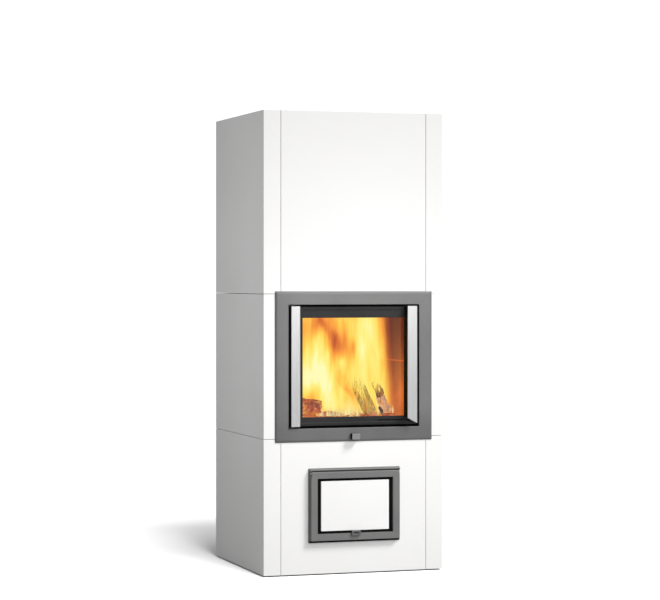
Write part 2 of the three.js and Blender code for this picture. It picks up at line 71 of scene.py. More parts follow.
class Look:
    """A node material being put together around one Principled shader."""

    def __init__(self, name):
        self.mat = bpy.data.materials.new(name)
        self.mat.use_nodes = True
        self.nt = self.mat.node_tree
        self.bsdf = self.nt.nodes["Principled BSDF"]
        self.out = self.nt.nodes["Material Output"]
        self.coord = self.node("ShaderNodeTexCoord").outputs["Object"]

    def node(self, kind, **values):
        n = self.nt.nodes.new(kind)
        for k, v in values.items():
            setattr(n, k, v)
        return n

    def link(self, a, b):
        self.nt.links.new(a, b)

    def scaled(self, scale, move=(0, 0, 0), turn=(0, 0, 0)):
        m = self.node("ShaderNodeMapping")
        m.inputs["Scale"].default_value = scale
        m.inputs["Location"].default_value = move
        m.inputs["Rotation"].default_value = turn
        self.link(self.coord, m.inputs["Vector"])
        return m.outputs["Vector"]

    def noise(self, scale, detail=3.0, rough=0.5, vector=None, distortion=0.0):
        n = self.node("ShaderNodeTexNoise")
        n.inputs["Scale"].default_value = scale
        n.inputs["Detail"].default_value = detail
        n.inputs["Roughness"].default_value = rough
        n.inputs["Distortion"].default_value = distortion
        self.link(vector if vector is not None else self.coord, n.inputs["Vector"])
        return n.outputs["Fac"]

    def ramp(self, fac, stops, interpolation="LINEAR"):
        r = self.node("ShaderNodeValToRGB")
        r.color_ramp.interpolation = interpolation
        e = r.color_ramp.elements
        while len(e) < len(stops):
            e.new(0.5)
        for el, (p, c) in zip(e, stops):
            el.position = p
            el.color = c if len(c) == 4 else (*c, 1)
        self.link(fac, r.inputs["Fac"])
        return r.outputs["Color"]

    def range(self, fac, a, b, c, d, smooth=False):
        m = self.node("ShaderNodeMapRange")
        if smooth:
            m.interpolation_type = "SMOOTHSTEP"
        for name, v in zip(("From Min", "From Max", "To Min", "To Max"), (a, b, c, d)):
            m.inputs[name].default_value = v
        self.link(fac, m.inputs["Value"])
        return m.outputs["Result"]

    def math(self, op, a, b=None, c=None, clamp=False):
        m = self.node("ShaderNodeMath", operation=op, use_clamp=clamp)
        for i, v in enumerate((a, b, c)):
            if v is None:
                continue
            if isinstance(v, (int, float)):
                m.inputs[i].default_value = v
            else:
                self.link(v, m.inputs[i])
        return m.outputs[0]

    def mix(self, fac, a, b, blend="MIX"):
        m = self.node("ShaderNodeMix", data_type="RGBA", blend_type=blend)
        for socket, v in ((m.inputs[0], fac), (m.inputs[6], a), (m.inputs[7], b)):
            if isinstance(v, (int, float)):
                socket.default_value = v
            elif isinstance(v, (tuple, list)):
                socket.default_value = v if len(v) == 4 else (*v, 1)
            else:
                self.link(v, socket)
        return m.outputs[2]

    def bump(self, height, strength, distance_m, normal=None):
        b = self.node("ShaderNodeBump")
        b.inputs["Strength"].default_value = strength
        b.inputs["Distance"].default_value = distance_m
        self.link(height, b.inputs["Height"])
        if normal is not None:
            self.link(normal, b.inputs["Normal"])
        return b.outputs["Normal"]

    def xyz(self, vector=None):
        s = self.node("ShaderNodeSeparateXYZ")
        self.link(vector if vector is not None else self.coord, s.inputs[0])
        return s.outputs

    def set(self, **values):
        names = {
            "color": "Base Color",
            "rough": "Roughness",
            "metal": "Metallic",
            "normal": "Normal",
            "coat": "Coat Weight",
            "coat_rough": "Coat Roughness",
            "spec": "Specular IOR Level",
            "ior": "IOR",
            "alpha": "Alpha",
            "emit": "Emission Color",
            "emit_strength": "Emission Strength",
            "transmission": "Transmission Weight",
            "aniso": "Anisotropic",
            "aniso_turn": "Anisotropic Rotation",
            "sheen": "Sheen Weight",
        }
        for k, v in values.items():
            socket = self.bsdf.inputs[names[k]]
            if isinstance(v, (int, float)):
                socket.default_value = v
            elif isinstance(v, (tuple, list)):
                socket.default_value = v if len(v) == 4 else (*v, 1)
            else:
                self.link(v, socket)
        return self


def make_white_slab():
    k = Look("white_slab")
    broad = k.noise(2.3, 2.0, 0.5)
    fine = k.noise(85.0, 3.0, 0.55)
    grain = k.noise(620.0, 2.0, 0.6)
    tone = k.ramp(broad, [(0.30, (0.845, 0.842, 0.834)), (0.70, (0.872, 0.871, 0.868))])
    tone = k.mix(k.range(fine, 0.35, 0.65, 0.0, 0.10), tone, (0.80, 0.795, 0.785))
    rough = k.math("ADD", k.range(broad, 0.3, 0.7, 0.40, 0.47), k.range(fine, 0.3, 0.7, -0.03, 0.03))
    n = k.bump(broad, 0.25, 0.0006)
    n = k.bump(grain, 0.12, 0.0003, n)
    k.set(color=tone, rough=rough, normal=n, spec=0.45)
    return k.mat


def make_paint(name, dark, light, rough, metal=0.0, grain_scale=900.0, bump=0.18, coat=0.0, fade=()):
    """fade: (axis, from, to, share) rows of painted shade that darken the paint a little toward one edge, where less
    light falls.
    """
    k = Look(name)
    broad = k.noise(6.0, 3.0, 0.55)
    grain = k.noise(grain_scale, 2.0, 0.6)
    tone = k.ramp(broad, [(0.3, dark), (0.7, light)])
    speck = k.range(grain, 0.35, 0.7, 0.0, 0.22)
    tone = k.mix(speck, tone, tuple(min(1.0, c * 1.35) for c in light))
    # painted shade: each row darkens the paint toward one edge
    for axis, a, b, share in fade:
        tone = k.mix(k.range(k.xyz()[axis], a, b, share, 0.0, True), tone, tuple(c * 0.3 for c in dark))
    r = k.math("ADD", k.range(broad, 0.3, 0.7, rough - 0.04, rough + 0.04), k.range(grain, 0.3, 0.7, -0.05, 0.05))
    n = k.bump(grain, bump, 0.0004)
    k.set(color=tone, rough=r, normal=n, metal=metal, coat=coat)
    return k.mat


def make_brushed(name, color, rough=0.3, along="Z", streak=0.10, metal=1.0):
    k = Look(name)
    scale = {"Z": (1, 1, 0.006), "X": (0.006, 1, 1), "Y": (1, 0.006, 1)}[along]
    lines = k.noise(2600.0, 4.0, 0.65, k.scaled(scale))
    soft = k.noise(240.0, 3.0, 0.6, k.scaled(scale))
    broad = k.noise(5.0, 2.0, 0.5)
    tone = k.ramp(
        lines,
        [(0.25, tuple(c * (1 - streak) for c in color)), (0.75, tuple(min(1.0, c * (1 + streak * 0.6)) for c in color))],
    )
    tone = k.mix(k.range(soft, 0.35, 0.65, 0.0, 0.35), tone, tuple(c * (1 - 1.4 * streak) for c in color))
    tone = k.mix(k.range(broad, 0.4, 0.7, 0.0, 0.18), tone, tuple(c * 0.92 for c in color))
    r = k.math("ADD", k.range(lines, 0.3, 0.7, rough - 0.05, rough + 0.07), k.range(soft, 0.3, 0.7, -0.03, 0.04))
    n = k.bump(lines, 0.10, 0.0002)
    k.set(color=tone, rough=r, normal=n, metal=metal)
    k.bsdf.inputs["Anisotropic"].default_value = 0.35
    return k.mat


def make_masonry(name, dark, light, rough=0.92, scale=1.0):
    k = Look(name)
    cloud = k.noise(7.0 * scale, 4.0, 0.6)
    grit = k.noise(160.0 * scale, 4.0, 0.65)
    pores = k.node("ShaderNodeTexVoronoi", feature="F1")
    pores.inputs["Scale"].default_value = 140.0 * scale
    k.link(k.coord, pores.inputs["Vector"])
    tone = k.ramp(cloud, [(0.3, dark), (0.72, light)])
    tone = k.mix(k.range(grit, 0.4, 0.75, 0.0, 0.4), tone, tuple(c * 0.62 for c in dark))
    n = k.bump(grit, 0.5, 0.0012)
    n = k.bump(pores.outputs["Distance"], 0.35, 0.0009, n)
    k.set(color=tone, rough=k.range(grit, 0.3, 0.7, rough - 0.06, min(1.0, rough + 0.05)), normal=n)
    return k.mat


def make_firebrick():
    # chamotte, sooted near the top; its emission is painted firelight, warm and strongest low down near the bed and
    # toward the front ends, with a painted highlight along the joint between the courses
    k = Look("firebrick")
    cloud = k.noise(9.0, 4.0, 0.6)
    grit = k.noise(210.0, 4.0, 0.65)
    z = k.xyz()[2]
    tone = k.ramp(cloud, [(0.3, (0.30, 0.155, 0.085)), (0.7, (0.47, 0.26, 0.15))])
    soot_edge = k.math("ADD", z, k.range(cloud, 0.3, 0.7, -0.07, 0.07))
    tone = k.mix(k.range(soot_edge, 0.66, 1.04, 0.0, 0.86, True), tone, (0.105, 0.050, 0.040))
    tone = k.mix(k.range(grit, 0.45, 0.8, 0.0, 0.55), tone, (0.13, 0.065, 0.04))
    n = k.bump(grit, 0.6, 0.0014)
    # painted firelight: the colour the bricks emit, orange low down and dull red higher up
    glow = k.mix(k.range(z, 0.70, 1.06, 0.0, 1.0, True), (1.0, 0.23, 0.045), (0.46, 0.070, 0.035))
    k.set(
        color=tone,
        rough=k.range(grit, 0.3, 0.7, 0.84, 0.97),
        normal=n,
        emit=glow,
        # painted firelight strength, plus a thin painted highlight at the course joint, z 870.4
        emit_strength=k.math("ADD", k.range(k.math("ABSOLUTE", k.math("SUBTRACT", z, 0.8704)), 0.0008, 0.005, 0.34, 0.0, True), k.math("MULTIPLY", k.math("MULTIPLY", k.range(cloud, 0.3, 0.75, 0.24, 0.40), k.range(z, 0.64, 1.02, 1.42, 0.66, True)), k.range(k.xyz()[1], -0.29, -0.22, 1.4, 1.0, True))),
    )
    return k.mat


def make_iron():
    k = Look("cast_iron")
    cloud = k.noise(14.0, 4.0, 0.6)
    grit = k.noise(420.0, 3.0, 0.6)
    tone = k.ramp(cloud, [(0.3, (0.028, 0.026, 0.025)), (0.7, (0.062, 0.052, 0.046))])
    n = k.bump(grit, 0.45, 0.0006)
    k.set(color=tone, rough=k.range(grit, 0.3, 0.7, 0.62, 0.82), metal=0.6, normal=n)
    return k.mat


def make_sheet_steel(name="sheet_steel", base=0.36, rough=0.42):
    k = Look(name)
    cloud = k.noise(11.0, 3.0, 0.6)
    spangle = k.node("ShaderNodeTexVoronoi", feature="F1")
    spangle.inputs["Scale"].default_value = 70.0
    k.link(k.coord, spangle.inputs["Vector"])
    tone = k.ramp(cloud, [(0.3, (base * 0.85,) * 3), (0.7, (base * 1.08, base * 1.08, base * 1.1))])
    tone = k.mix(k.range(spangle.outputs["Distance"], 0.1, 0.8, 0.0, 0.2), tone, (base * 0.7, base * 0.7, base * 0.72))
    fine = k.noise(500.0, 2.0, 0.6)
    k.set(
        color=tone,
        rough=k.range(cloud, 0.3, 0.7, rough - 0.06, rough + 0.08),
        metal=0.9,
        normal=k.bump(fine, 0.15, 0.0003),
    )
    return k.mat


def make_rope():
    k = Look("seal_rope")
    braid = k.node("ShaderNodeTexWave", wave_type="BANDS", bands_direction="DIAGONAL")
    braid.inputs["Scale"].default_value = 190.0
    braid.inputs["Distortion"].default_value = 1.5
    k.link(k.coord, braid.inputs["Vector"])
    fluff = k.noise(260.0, 4.0, 0.6)
    tone = k.ramp(fluff, [(0.3, (0.20, 0.19, 0.17)), (0.7, (0.36, 0.35, 0.32))])
    # painted shade: the braid's grooves are darkened
    tone = k.mix(k.range(braid.outputs["Fac"], 0.2, 0.8, 0.35, 0.0), tone, (0.09, 0.085, 0.075))
    n = k.bump(braid.outputs["Fac"], 0.7, 0.0010)
    k.set(color=tone, rough=k.range(fluff, 0.3, 0.7, 0.9, 1.0), normal=n, sheen=0.2)
    return k.mat


def make_glass():
    k = Look("door_glass")
    haze = k.noise(6.0, 3.0, 0.55)
    k.set(
        color=(0.97, 0.95, 0.92),
        rough=k.range(haze, 0.35, 0.75, 0.0, 0.025),
        transmission=1.0,
        ior=1.47,
    )
    return k.mat


WHITE = make_white_slab()
GREY = make_paint("grey_paint", (0.166, 0.167, 0.167), (0.190, 0.190, 0.188), 0.40, metal=0.16)
# painted shade: the frame's paint darkens toward its bottom rail and its left edge
FRAME_GREY = make_paint("frame_grey", (0.134, 0.135, 0.135), (0.154, 0.154, 0.153), 0.33,
                        fade=((2, 0.585, 0.70, 0.28), (0, -0.33, -0.22, 0.22)))
FRAME_GREY.node_tree.nodes["Principled BSDF"].inputs["Specular IOR Level"].default_value = 0.95
BLACK = make_paint("black_paint", (0.015, 0.015, 0.016), (0.023, 0.023, 0.024), 0.32, metal=0.0)
BLACK.node_tree.nodes["Principled BSDF"].inputs["Specular IOR Level"].default_value = 0.28
BLACK_MATT = make_paint("black_matt", (0.004, 0.004, 0.004), (0.007, 0.007, 0.007), 0.75, bump=0.3)
BLACK_MATT.node_tree.nodes["Principled BSDF"].inputs["Specular IOR Level"].default_value = 0.12
BLACK_SHEET = make_paint("black_sheet", (0.030, 0.030, 0.031), (0.048, 0.047, 0.046), 0.55, metal=0.2)
BRUSHED = make_brushed("brushed_trim", (0.90, 0.90, 0.905), 0.34, metal=0.84)
FITTING = make_brushed("fitting_steel", (0.50, 0.50, 0.51), 0.36, "X", 0.08)
KNOB_FACE = make_brushed("knob_face", (0.34, 0.34, 0.342), 0.42, "X", 0.10, metal=0.6)
DARK_STEEL = make_brushed("dark_steel", (0.22, 0.22, 0.222), 0.45, "X", 0.10, metal=0.7)
SHEET = make_sheet_steel()
MASONRY = make_masonry("masonry", (0.27, 0.26, 0.24), (0.44, 0.42, 0.39))
FIREBRICK = make_firebrick()
IRON = make_iron()
ROPE = make_rope()
GLASS = make_glass()

SLOT_LOOK = {
    "white_slab": WHITE,
    "grey_paint": GREY,
    "black_paint": BLACK,
    "black_sheet": BLACK_SHEET,
    "brushed_trim": BRUSHED,
    "fitting_steel": FITTING,
    "sheet_steel": SHEET,
    "masonry": MASONRY,
    "firebrick": FIREBRICK,
    "cast_iron": IRON,
    "seal_rope": ROPE,
    "door_glass": GLASS,
}
NODE_SLOT = {s["node"]: s["material_slot"] for s in frame["record"]["subparts"]}
for name, obj in frame["nodes"].items():
    obj.data.materials.clear()
    obj.data.materials.append(SLOT_LOOK[NODE_SLOT[name]])
frame["nodes"]["door_cassette"].data.materials[0] = BLACK_MATT


# -------------------------------------------------------------- mesh building


def finish_mesh(bm, name, look, smooth_deg=35.0, weighted=True):
    bmesh.ops.remove_doubles(bm, verts=bm.verts[:], dist=1e-7)
    bmesh.ops.dissolve_degenerate(bm, dist=1e-7, edges=bm.edges[:])
    bmesh.ops.recalc_face_normals(bm, faces=bm.faces[:])
    me = bpy.data.meshes.new(name)
    for f in bm.faces:
        f.smooth = True
    limit = math.radians(smooth_deg)
    for e in bm.edges:
        if len(e.link_faces) == 2 and e.calc_face_angle(0.0) > limit:
            e.smooth = False
    bm.to_mesh(me)
    bm.free()
    o = bpy.data.objects.new(name, me)
    scene.collection.objects.link(o)
    me.materials.append(look)
    if weighted:
        w = o.modifiers.new("weighted", "WEIGHTED_NORMAL")
        w.keep_sharp = True
        w.weight = 80
    return o


def corners(x0, x1, z0, z1, r, n):
    """Rectangle with rounded corners, as 4 * (n + 1) points."""
    pts = []
    for cx, cz, a0 in (
        (x1 - r, z0 + r, -90),
        (x1 - r, z1 - r, 0),
        (x0 + r, z1 - r, 90),
        (x0 + r, z0 + r, 180),
    ):
        for i in range(n + 1):
            a = math.radians(a0 + 90 * i / n)
            pts.append((cx + r * math.cos(a), cz + r * math.sin(a)))
    return pts


def place(axis, a, d, b):
    p = {"Y": (a, d, b), "X": (d, a, b), "Z": (a, b, d)}[axis]
    return Vector(p) * MM


def loft_bm(bm, sections, axis="Y", closed=False, n=4):
    """Joins rounded rectangles (x0, x1, z0, z1, r, depth) in turn. closed joins the last to the first, else both ends are capped."""
    rings = []
    for x0, x1, z0, z1, r, d in sections:
        rings.append([bm.verts.new(place(axis, a, d, b)) for a, b in corners(x0, x1, z0, z1, max(r, 0.0005), n)])
    m = len(rings[0])
    pairs = list(zip(rings, rings[1:])) + ([(rings[-1], rings[0])] if closed else [])
    for p, q in pairs:
        for i in range(m):
            j = (i + 1) % m
            bm.faces.new((p[i], p[j], q[j], q[i]))
    if not closed:
        bm.faces.new(rings[0])
        bm.faces.new(reversed(rings[-1]))


def fillet(rect, d0, d1, r, k=4, rc=None):
    """Sections of a block from depth d0 to d1 whose edges are rounded by r."""
    x0, x1, z0, z1 = rect
    rc = r if rc is None else rc
    out = []
    s = 1 if d1 > d0 else -1
    for i in range(k + 1):
        a = math.pi / 2 * i / k
        inset = r * (1 - math.sin(a))
        out.append((x0 + inset, x1 - inset, z0 + inset, z1 - inset, max(rc - inset, 0), d0 + s * r * (1 - math.cos(a))))
    back = []
    for x0_, x1_, z0_, z1_, rr, d in reversed(out):
        back.append((x0_, x1_, z0_, z1_, rr, d1 - (d - d0)))
    return out + back


def rounded_block(name, x0, x1, y0, y1, z0, z1, r, look, axis="Y", k=4, rc=None):
    bm = bmesh.new()
    if axis == "Y":
        loft_bm(bm, fillet((x0, x1, z0, z1), y0, y1, r, k, rc), "Y", n=k)
    elif axis == "X":
        loft_bm(bm, fillet((y0, y1, z0, z1), x0, x1, r, k, rc), "X", n=k)
    else:
        loft_bm(bm, fillet((x0, x1, y0, y1), z0, z1, r, k, rc), "Z", n=k)
    return finish_mesh(bm, name, look)


def edge_round(rect, d, r, k, inward, start_flat=True):
    """Sections that turn a front edge: from the flat face at depth d to the side. inward shrinks the rectangle towards the face for an outer edge."""
    x0, x1, z0, z1 = rect
    out = []
    for i in range(k + 1):
        a = math.pi / 2 * i / k
        inset = r * (1 - math.sin(a)) * inward
        out.append((x0 + inset, x1 - inset, z0 + inset, z1 - inset, d + r * (1 - math.cos(a))))
    return out


def profile_ring(name, sections, look, n=5, axis="Y", cuts=(), smooth_deg=35.0):
    """Closed ring from sections (x0, x1, z0, z1, r, y)."""
    bm = bmesh.new()
    loft_bm(bm, sections, axis, closed=True, n=n)
    o = finish_mesh(bm, name, look, smooth_deg, weighted=not cuts)
    for c in cuts:
        cut(o, c)
    if cuts:
        w = o.modifiers.new("weighted", "WEIGHTED_NORMAL")
        w.keep_sharp = True
        w.weight = 80
    return o


def cut(o, box):
    """Cuts a block (x0, x1, y0, y1, z0, z1) out of a piece."""
    x0, x1, y0, y1, z0, z1 = box
    bm = bmesh.new()
    bmesh.ops.create_cube(bm, size=1.0)
    for v in bm.verts:
        v.co = Vector(
            (
                (x0 + x1) / 2 + v.co.x * (x1 - x0),
                (y0 + y1) / 2 + v.co.y * (y1 - y0),
                (z0 + z1) / 2 + v.co.z * (z1 - z0),
            )
        ) * MM
    me = bpy.data.meshes.new("cutter")
    bm.to_mesh(me)
    bm.free()
    tool = bpy.data.objects.new("cutter", me)
    scene.collection.objects.link(tool)
    m = o.modifiers.new("cut", "BOOLEAN")
    m.operation = "DIFFERENCE"
    m.solver = "EXACT"
    m.object = tool
    apply_modifiers(o)
    bpy.data.objects.remove(tool)
    bpy.data.meshes.remove(me)


def apply_modifiers(o):
    dg = bpy.context.evaluated_depsgraph_get()
    dg.update()
    new = bpy.data.meshes.new_from_object(o.evaluated_get(dg), preserve_all_data_layers=True, depsgraph=dg)
    old = o.data
    o.modifiers.clear()
    new.name = old.name
    o.data = new
    bpy.data.meshes.remove(old)


def outline_round(points, radii, k=5):
    """Polygon corners rounded by the radius given for each."""
    out = []
    m = len(points)
    for i, ((x, y), r) in enumerate(zip(points, radii)):
        if r <= 0:
            out.append((x, y))
            continue
        p = Vector((x, y))
        a = (Vector(points[i - 1]) - p).normalized()
        b = (Vector(points[(i + 1) % m]) - p).normalized()
        half = math.acos(max(-1.0, min(1.0, a.dot(b)))) / 2
        t = r / math.tan(half)
        c = p + (a + b).normalized() * (r / math.sin(half))
        s, e = p + a * t, p + b * t
        a0 = math.atan2(s.y - c.y, s.x - c.x)
        a1 = math.atan2(e.y - c.y, e.x - c.x)
        d = (a1 - a0 + math.pi) % (2 * math.pi) - math.pi
        for j in range(k + 1):
            t_ = a0 + d * j / k
            out.append((c.x + r * math.cos(t_), c.y + r * math.sin(t_)))
    return out


def prism(name, outline, d0, d1, look, axis="Z", edge=0.0, smooth_deg=35.0):
    """Extrudes an outline; edge rounds its end rims a little by insetting them."""
    bm = bmesh.new()
    rings = []
    cx = sum(p[0] for p in outline) / len(outline)
    levels = [(d0, 0.0), (d1, 0.0)]
    for d, _ in levels:
        ring = []
        for a, b in outline:
            p = {"Z": (a, b, d), "Y": (a, d, b), "X": (d, a, b)}[axis]
            ring.append(bm.verts.new(Vector(p) * MM))
        rings.append(ring)
    m = len(outline)
    for i in range(m):
        j = (i + 1) % m
        bm.faces.new((rings[0][i], rings[0][j], rings[1][j], rings[1][i]))
    bm.faces.new(rings[0])
    bm.faces.new(reversed(rings[1]))
    bmesh.ops.recalc_face_normals(bm, faces=bm.faces[:])
    if edge > 0:
        rims = [e for e in bm.edges if len({round(v.co[{"Z": 2, "Y": 1, "X": 0}[axis]], 7) for v in e.verts}) == 1]
        bmesh.ops.bevel(bm, geom=rims, offset=edge * MM, offset_type="OFFSET", segments=2, profile=0.5, affect="EDGES", clamp_overlap=True)
    return finish_mesh(bm, name, look, smooth_deg)


def put(o, body, slot, *nodes):
    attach(o, body)
    if nodes:
        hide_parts(*nodes)
    return o


# --------------------------------------------------------------------- slabs

HALF_W, HALF_D = 388.5, 364.0
SIDE_T, FRONT_T = 72.7, 60.0
INNER = HALF_W - SIDE_T
FX = INNER - 1.6
COURSES = {"lower": (0.0, 559.2), "middle": (560.8, 1150.2), "upper": (1151.8, 1900.0)}
R_SLAB = 1.6

GAP_H, GAP_IN = 6.0, 20.0  # shadow gap cut round the foot of the stove
FOOT = [
    (-HALF_W - 5, -HALF_W + GAP_IN, -HALF_D - 5, HALF_D + 5, -1, GAP_H),
    (HALF_W - GAP_IN, HALF_W + 5, -HALF_D - 5, HALF_D + 5, -1, GAP_H),
    (-HALF_W - 5, HALF_W + 5, -HALF_D - 5, -HALF_D + GAP_IN, -1, GAP_H),
    (-HALF_W - 5, HALF_W + 5, HALF_D - GAP_IN, HALF_D + 5, -1, GAP_H),
]


def undercut(o, *boxes):
    o.modifiers.clear()
    for b in boxes:
        cut(o, b)
    w = o.modifiers.new("weighted", "WEIGHTED_NORMAL")
    w.keep_sharp = True
    w.weight = 80


for course, (z0, z1) in COURSES.items():
    o = rounded_block(f"{course}_left_slab", -HALF_W, -INNER, -HALF_D, HALF_D, z0, z1, R_SLAB, WHITE)
    if course == "lower":
        undercut(o, FOOT[0], FOOT[2], FOOT[3])
    put(o, "stove_body", "white_slab", f"{course}_side_slab_left")
    o = rounded_block(f"{course}_right_slab", INNER, HALF_W, -HALF_D, HALF_D, z0, z1, R_SLAB, WHITE)
    if course == "lower":
        undercut(o, FOOT[1], FOOT[2], FOOT[3])
    put(o, "stove_body", "white_slab", f"{course}_side_slab_right")
    o = rounded_block(f"{course}_rear_slab", -FX, FX, HALF_D - FRONT_T, HALF_D, z0, z1, R_SLAB, WHITE)
    if course == "lower":
        undercut(o, FOOT[3])
    put(o, "stove_body", "white_slab", f"{course}_back_slab")
    y0, y1 = -HALF_D, -HALF_D + FRONT_T
    if course == "upper":
        o = rounded_block("upper_face_slab", -FX, FX, y0, y1, z0, z1, R_SLAB, WHITE)
    else:
        hole = (-181.5, 181.5, 146.0, 413.5) if course == "lower" else (-291.0, 291.0, 593.5, 1115.0)
        s = fillet((-FX, FX, z0, z1), y0, y1, R_SLAB)
        h = 1.0
        inner = [
            (hole[0], hole[1], hole[2], hole[3], 3.0, y1 - h),
            (hole[0], hole[1], hole[2], hole[3], 3.0, y0 + h),
            (hole[0] - h, hole[1] + h, hole[2] - h, hole[3] + h, 4.0, y0),
        ]
        back = [(hole[0] - h, hole[1] + h, hole[2] - h, hole[3] + h, 4.0, y1)]
        cuts = [(-12, 12, y0 - 5, y1 + 5, 540, 574)] if course == "middle" else [FOOT[2]]
        o = profile_ring(f"{course}_face_slab", s + back + inner, WHITE, n=4, cuts=cuts)
    put(o, "stove_body", "white_slab", f"{course}_front_slab")

# top cover with its round hole, and the flue collar standing in it


def disc_plate(name, rect, z0, z1, cx, cy, r, look, edge=2.0, n=64):
    """Plate with a round hole, both with rounded top edges."""
    x0, x1, y0, y1 = rect
    bm = bmesh.new()

    def square_ring(inset, z):
        pts = []
        for i in range(n):
            a = 2 * math.pi * (i + 0.5) / n
            dx, dy = math.cos(a), math.sin(a)
            hx0, hx1, hy0, hy1 = x0 + inset, x1 - inset, y0 + inset, y1 - inset
            tx = ((hx1 if dx > 0 else hx0) - cx) / dx if abs(dx) > 1e-9 else 1e9
            ty = ((hy1 if dy > 0 else hy0) - cy) / dy if abs(dy) > 1e-9 else 1e9
            t = min(tx, ty)
            pts.append([cx + dx * t, cy + dy * t])
        for corner in ((hx0, hy0), (hx1, hy0), (hx1, hy1), (hx0, hy1)):
            near = min(range(n), key=lambda i: (pts[i][0] - corner[0]) ** 2 + (pts[i][1] - corner[1]) ** 2)
            pts[near] = [corner[0], corner[1]]
        return [bm.verts.new(Vector((x, y, z)) * MM) for x, y in pts]

    def round_ring(radius, z):
        return [
            bm.verts.new(
                Vector((cx + radius * math.cos(2 * math.pi * (i + 0.5) / n), cy + radius * math.sin(2 * math.pi * (i + 0.5) / n), z)) * MM
            )
            for i in range(n)
        ]

    rings = [square_ring(0, z0)]
    for i in range(5):
        a = math.pi / 2 * i / 4
        rings.append(square_ring(edge * (1 - math.cos(a)), z1 - edge + edge * math.sin(a)))
    for i in range(5):
        a = math.pi / 2 * (1 - i / 4)
        rings.append(round_ring(r + edge * (1 - math.cos(a)), z1 - edge + edge * math.sin(a)))
    rings.append(round_ring(r, z0))
    rings.append(rings[0])
    for p, q in zip(rings, rings[1:]):
        for i in range(n):
            j = (i + 1) % n
            bm.faces.new((p[i], p[j], q[j], q[i]))
    return finish_mesh(bm, name, look)


o = disc_plate("top_slab", (-314, 314, -303, 303), 1860, 1895, 0, 100, 81, WHITE)
put(o, "stove_body", "white_slab", "top_cover")


def revolve(name, profile, cx, cy, look, n=72, closed=True, smooth_deg=35.0):
    bm = bmesh.new()
    rings = []
    for r, z in profile:
        rings.append(
            [
                bm.verts.new(Vector((cx + r * math.cos(2 * math.pi * i / n), cy + r * math.sin(2 * math.pi * i / n), z)) * MM)
                for i in range(n)
            ]
        )
    pairs = list(zip(rings, rings[1:])) + ([(rings[-1], rings[0])] if closed else [])
    for p, q in pairs:
        for i in range(n):
            j = (i + 1) % n
            bm.faces.new((p[i], p[j], q[j], q[i]))
    return finish_mesh(bm, name, look, smooth_deg)


collar = outline_round(
    [(75.2, 1790.2), (79.8, 1790.2), (79.8, 1895.3), (99.7, 1895.3), (99.7, 1898.1), (75.2, 1898.1)],
    [1.0, 1.0, 0.0, 1.2, 1.2, 2.6],
)
o = revolve("flue_socket", collar, 0, 100, BLACK_SHEET)
put(o, "stove_body", "black_sheet", "flue_collar")

# -------------------------------------------------------------- facing frame

FRAME = (-340.5, 340.5, 545.0, 1162.0)
FRAME_IN = (-283.5, 283.5, 601.3, 1107.3)


def grown(rect, d):
    return (rect[0] - d, rect[1] + d, rect[2] - d, rect[3] + d)


sections = []
for i in range(9):  # rounded outer edge, 12 wide and 5.2 deep
    a = math.pi / 2 * i / 8
    inset = 12.0 * (1 - math.sin(a))
    sections.append((*grown(FRAME, -inset), max(3.0 - 0.2 * inset, 0.8), Y(-6 + 5.2 * (1 - math.cos(a)))))
sections.append((*FRAME, 3.0, Y(-0.3)))
sections.append((*grown(FRAME, -14), 1.0, Y(-0.3)))
sections.append((*grown(FRAME_IN, 2.5), 1.5, Y(-0.3)))
sections.append((*FRAME_IN, 1.5, Y(-0.6)))
for i in range(4):
    a = math.pi / 2 * i / 3
    sections.append((*grown(FRAME_IN, 1.2 * (1 - math.cos(a))), 1.5 + 1.2 * (1 - math.cos(a)), Y(-6 + 1.2 * (1 - math.sin(a)))))
o = profile_ring("facing_frame_plate", sections, FRAME_GREY, n=5, cuts=[(-9, 9, Y(-12), Y(4), 562, 571)])
put(o, "stove_body", "grey_paint", "facing_frame")

# ----------------------------------------------------------------- fire door

LEAF = (-278.5, 278.5, 609.5, 1099.5)
WINDOW = (-219.4, 222.4, 646.5, 1052.7)
REBATE = (-240.0, 240.0, 628.0, 1071.0)
BORDER = grown(LEAF, -14)
r = 1.4
sections = [
    (*WINDOW, 1.5, Y(10.0)),
    (*WINDOW, 1.5, Y(7.0 + r)),
    (*grown(WINDOW, 0.4), 1.9, Y(7.0 + 0.4)),
    (*grown(WINDOW, r), 2.9, Y(7.0)),
    (*grown(BORDER, -0.8), 1.2, Y(7.0)),
    (*grown(BORDER, -0.3), 1.2, Y(6.6)),
    (*grown(BORDER, 0.2), 1.2, Y(4.4)),
    (*grown(BORDER, 0.8), 1.8, Y(4.0)),
    (*grown(LEAF, -3.4), 2.0, Y(4.0)),
    (*grown(LEAF, -2.1), 2.2, Y(4.25)),
    (*grown(LEAF, -1.0), 2.5, Y(4.95)),
    (*grown(LEAF, -0.25), 2.8, Y(6.1)),
    (*LEAF, 3.0, Y(7.4)),
    (*LEAF, 3.0, Y(24.8)),
    (*grown(LEAF, -0.4), 2.6, Y(25.6)),
    (*grown(LEAF, -1.4), 2.0, Y(26.0)),
    (*grown(REBATE, 1.0), 1.5, Y(26.0)),
    (*REBATE, 1.0, Y(25.0)),
    (*REBATE, 1.0, Y(10.0)),
]
SLOT_LINE = (107.0, 221.0, Y(0.0), Y(9.6), 627.3, 631.7)  # narrow slot at the right end of the bottom rail
o = profile_ring("fire_door_leaf", sections, BLACK, n=4, cuts=[SLOT_LINE])
o.data.materials.append(BLACK_MATT)
for f in o.data.polygons:  # the window's reveal and the back are left matt
    c = f.center / MM
    if c.y > Y(8.6) and abs(c.x) < 277 and 611 < c.z < 1098:
        f.material_index = 1
put(o, "fire_door", "black_paint", "door_leaf")

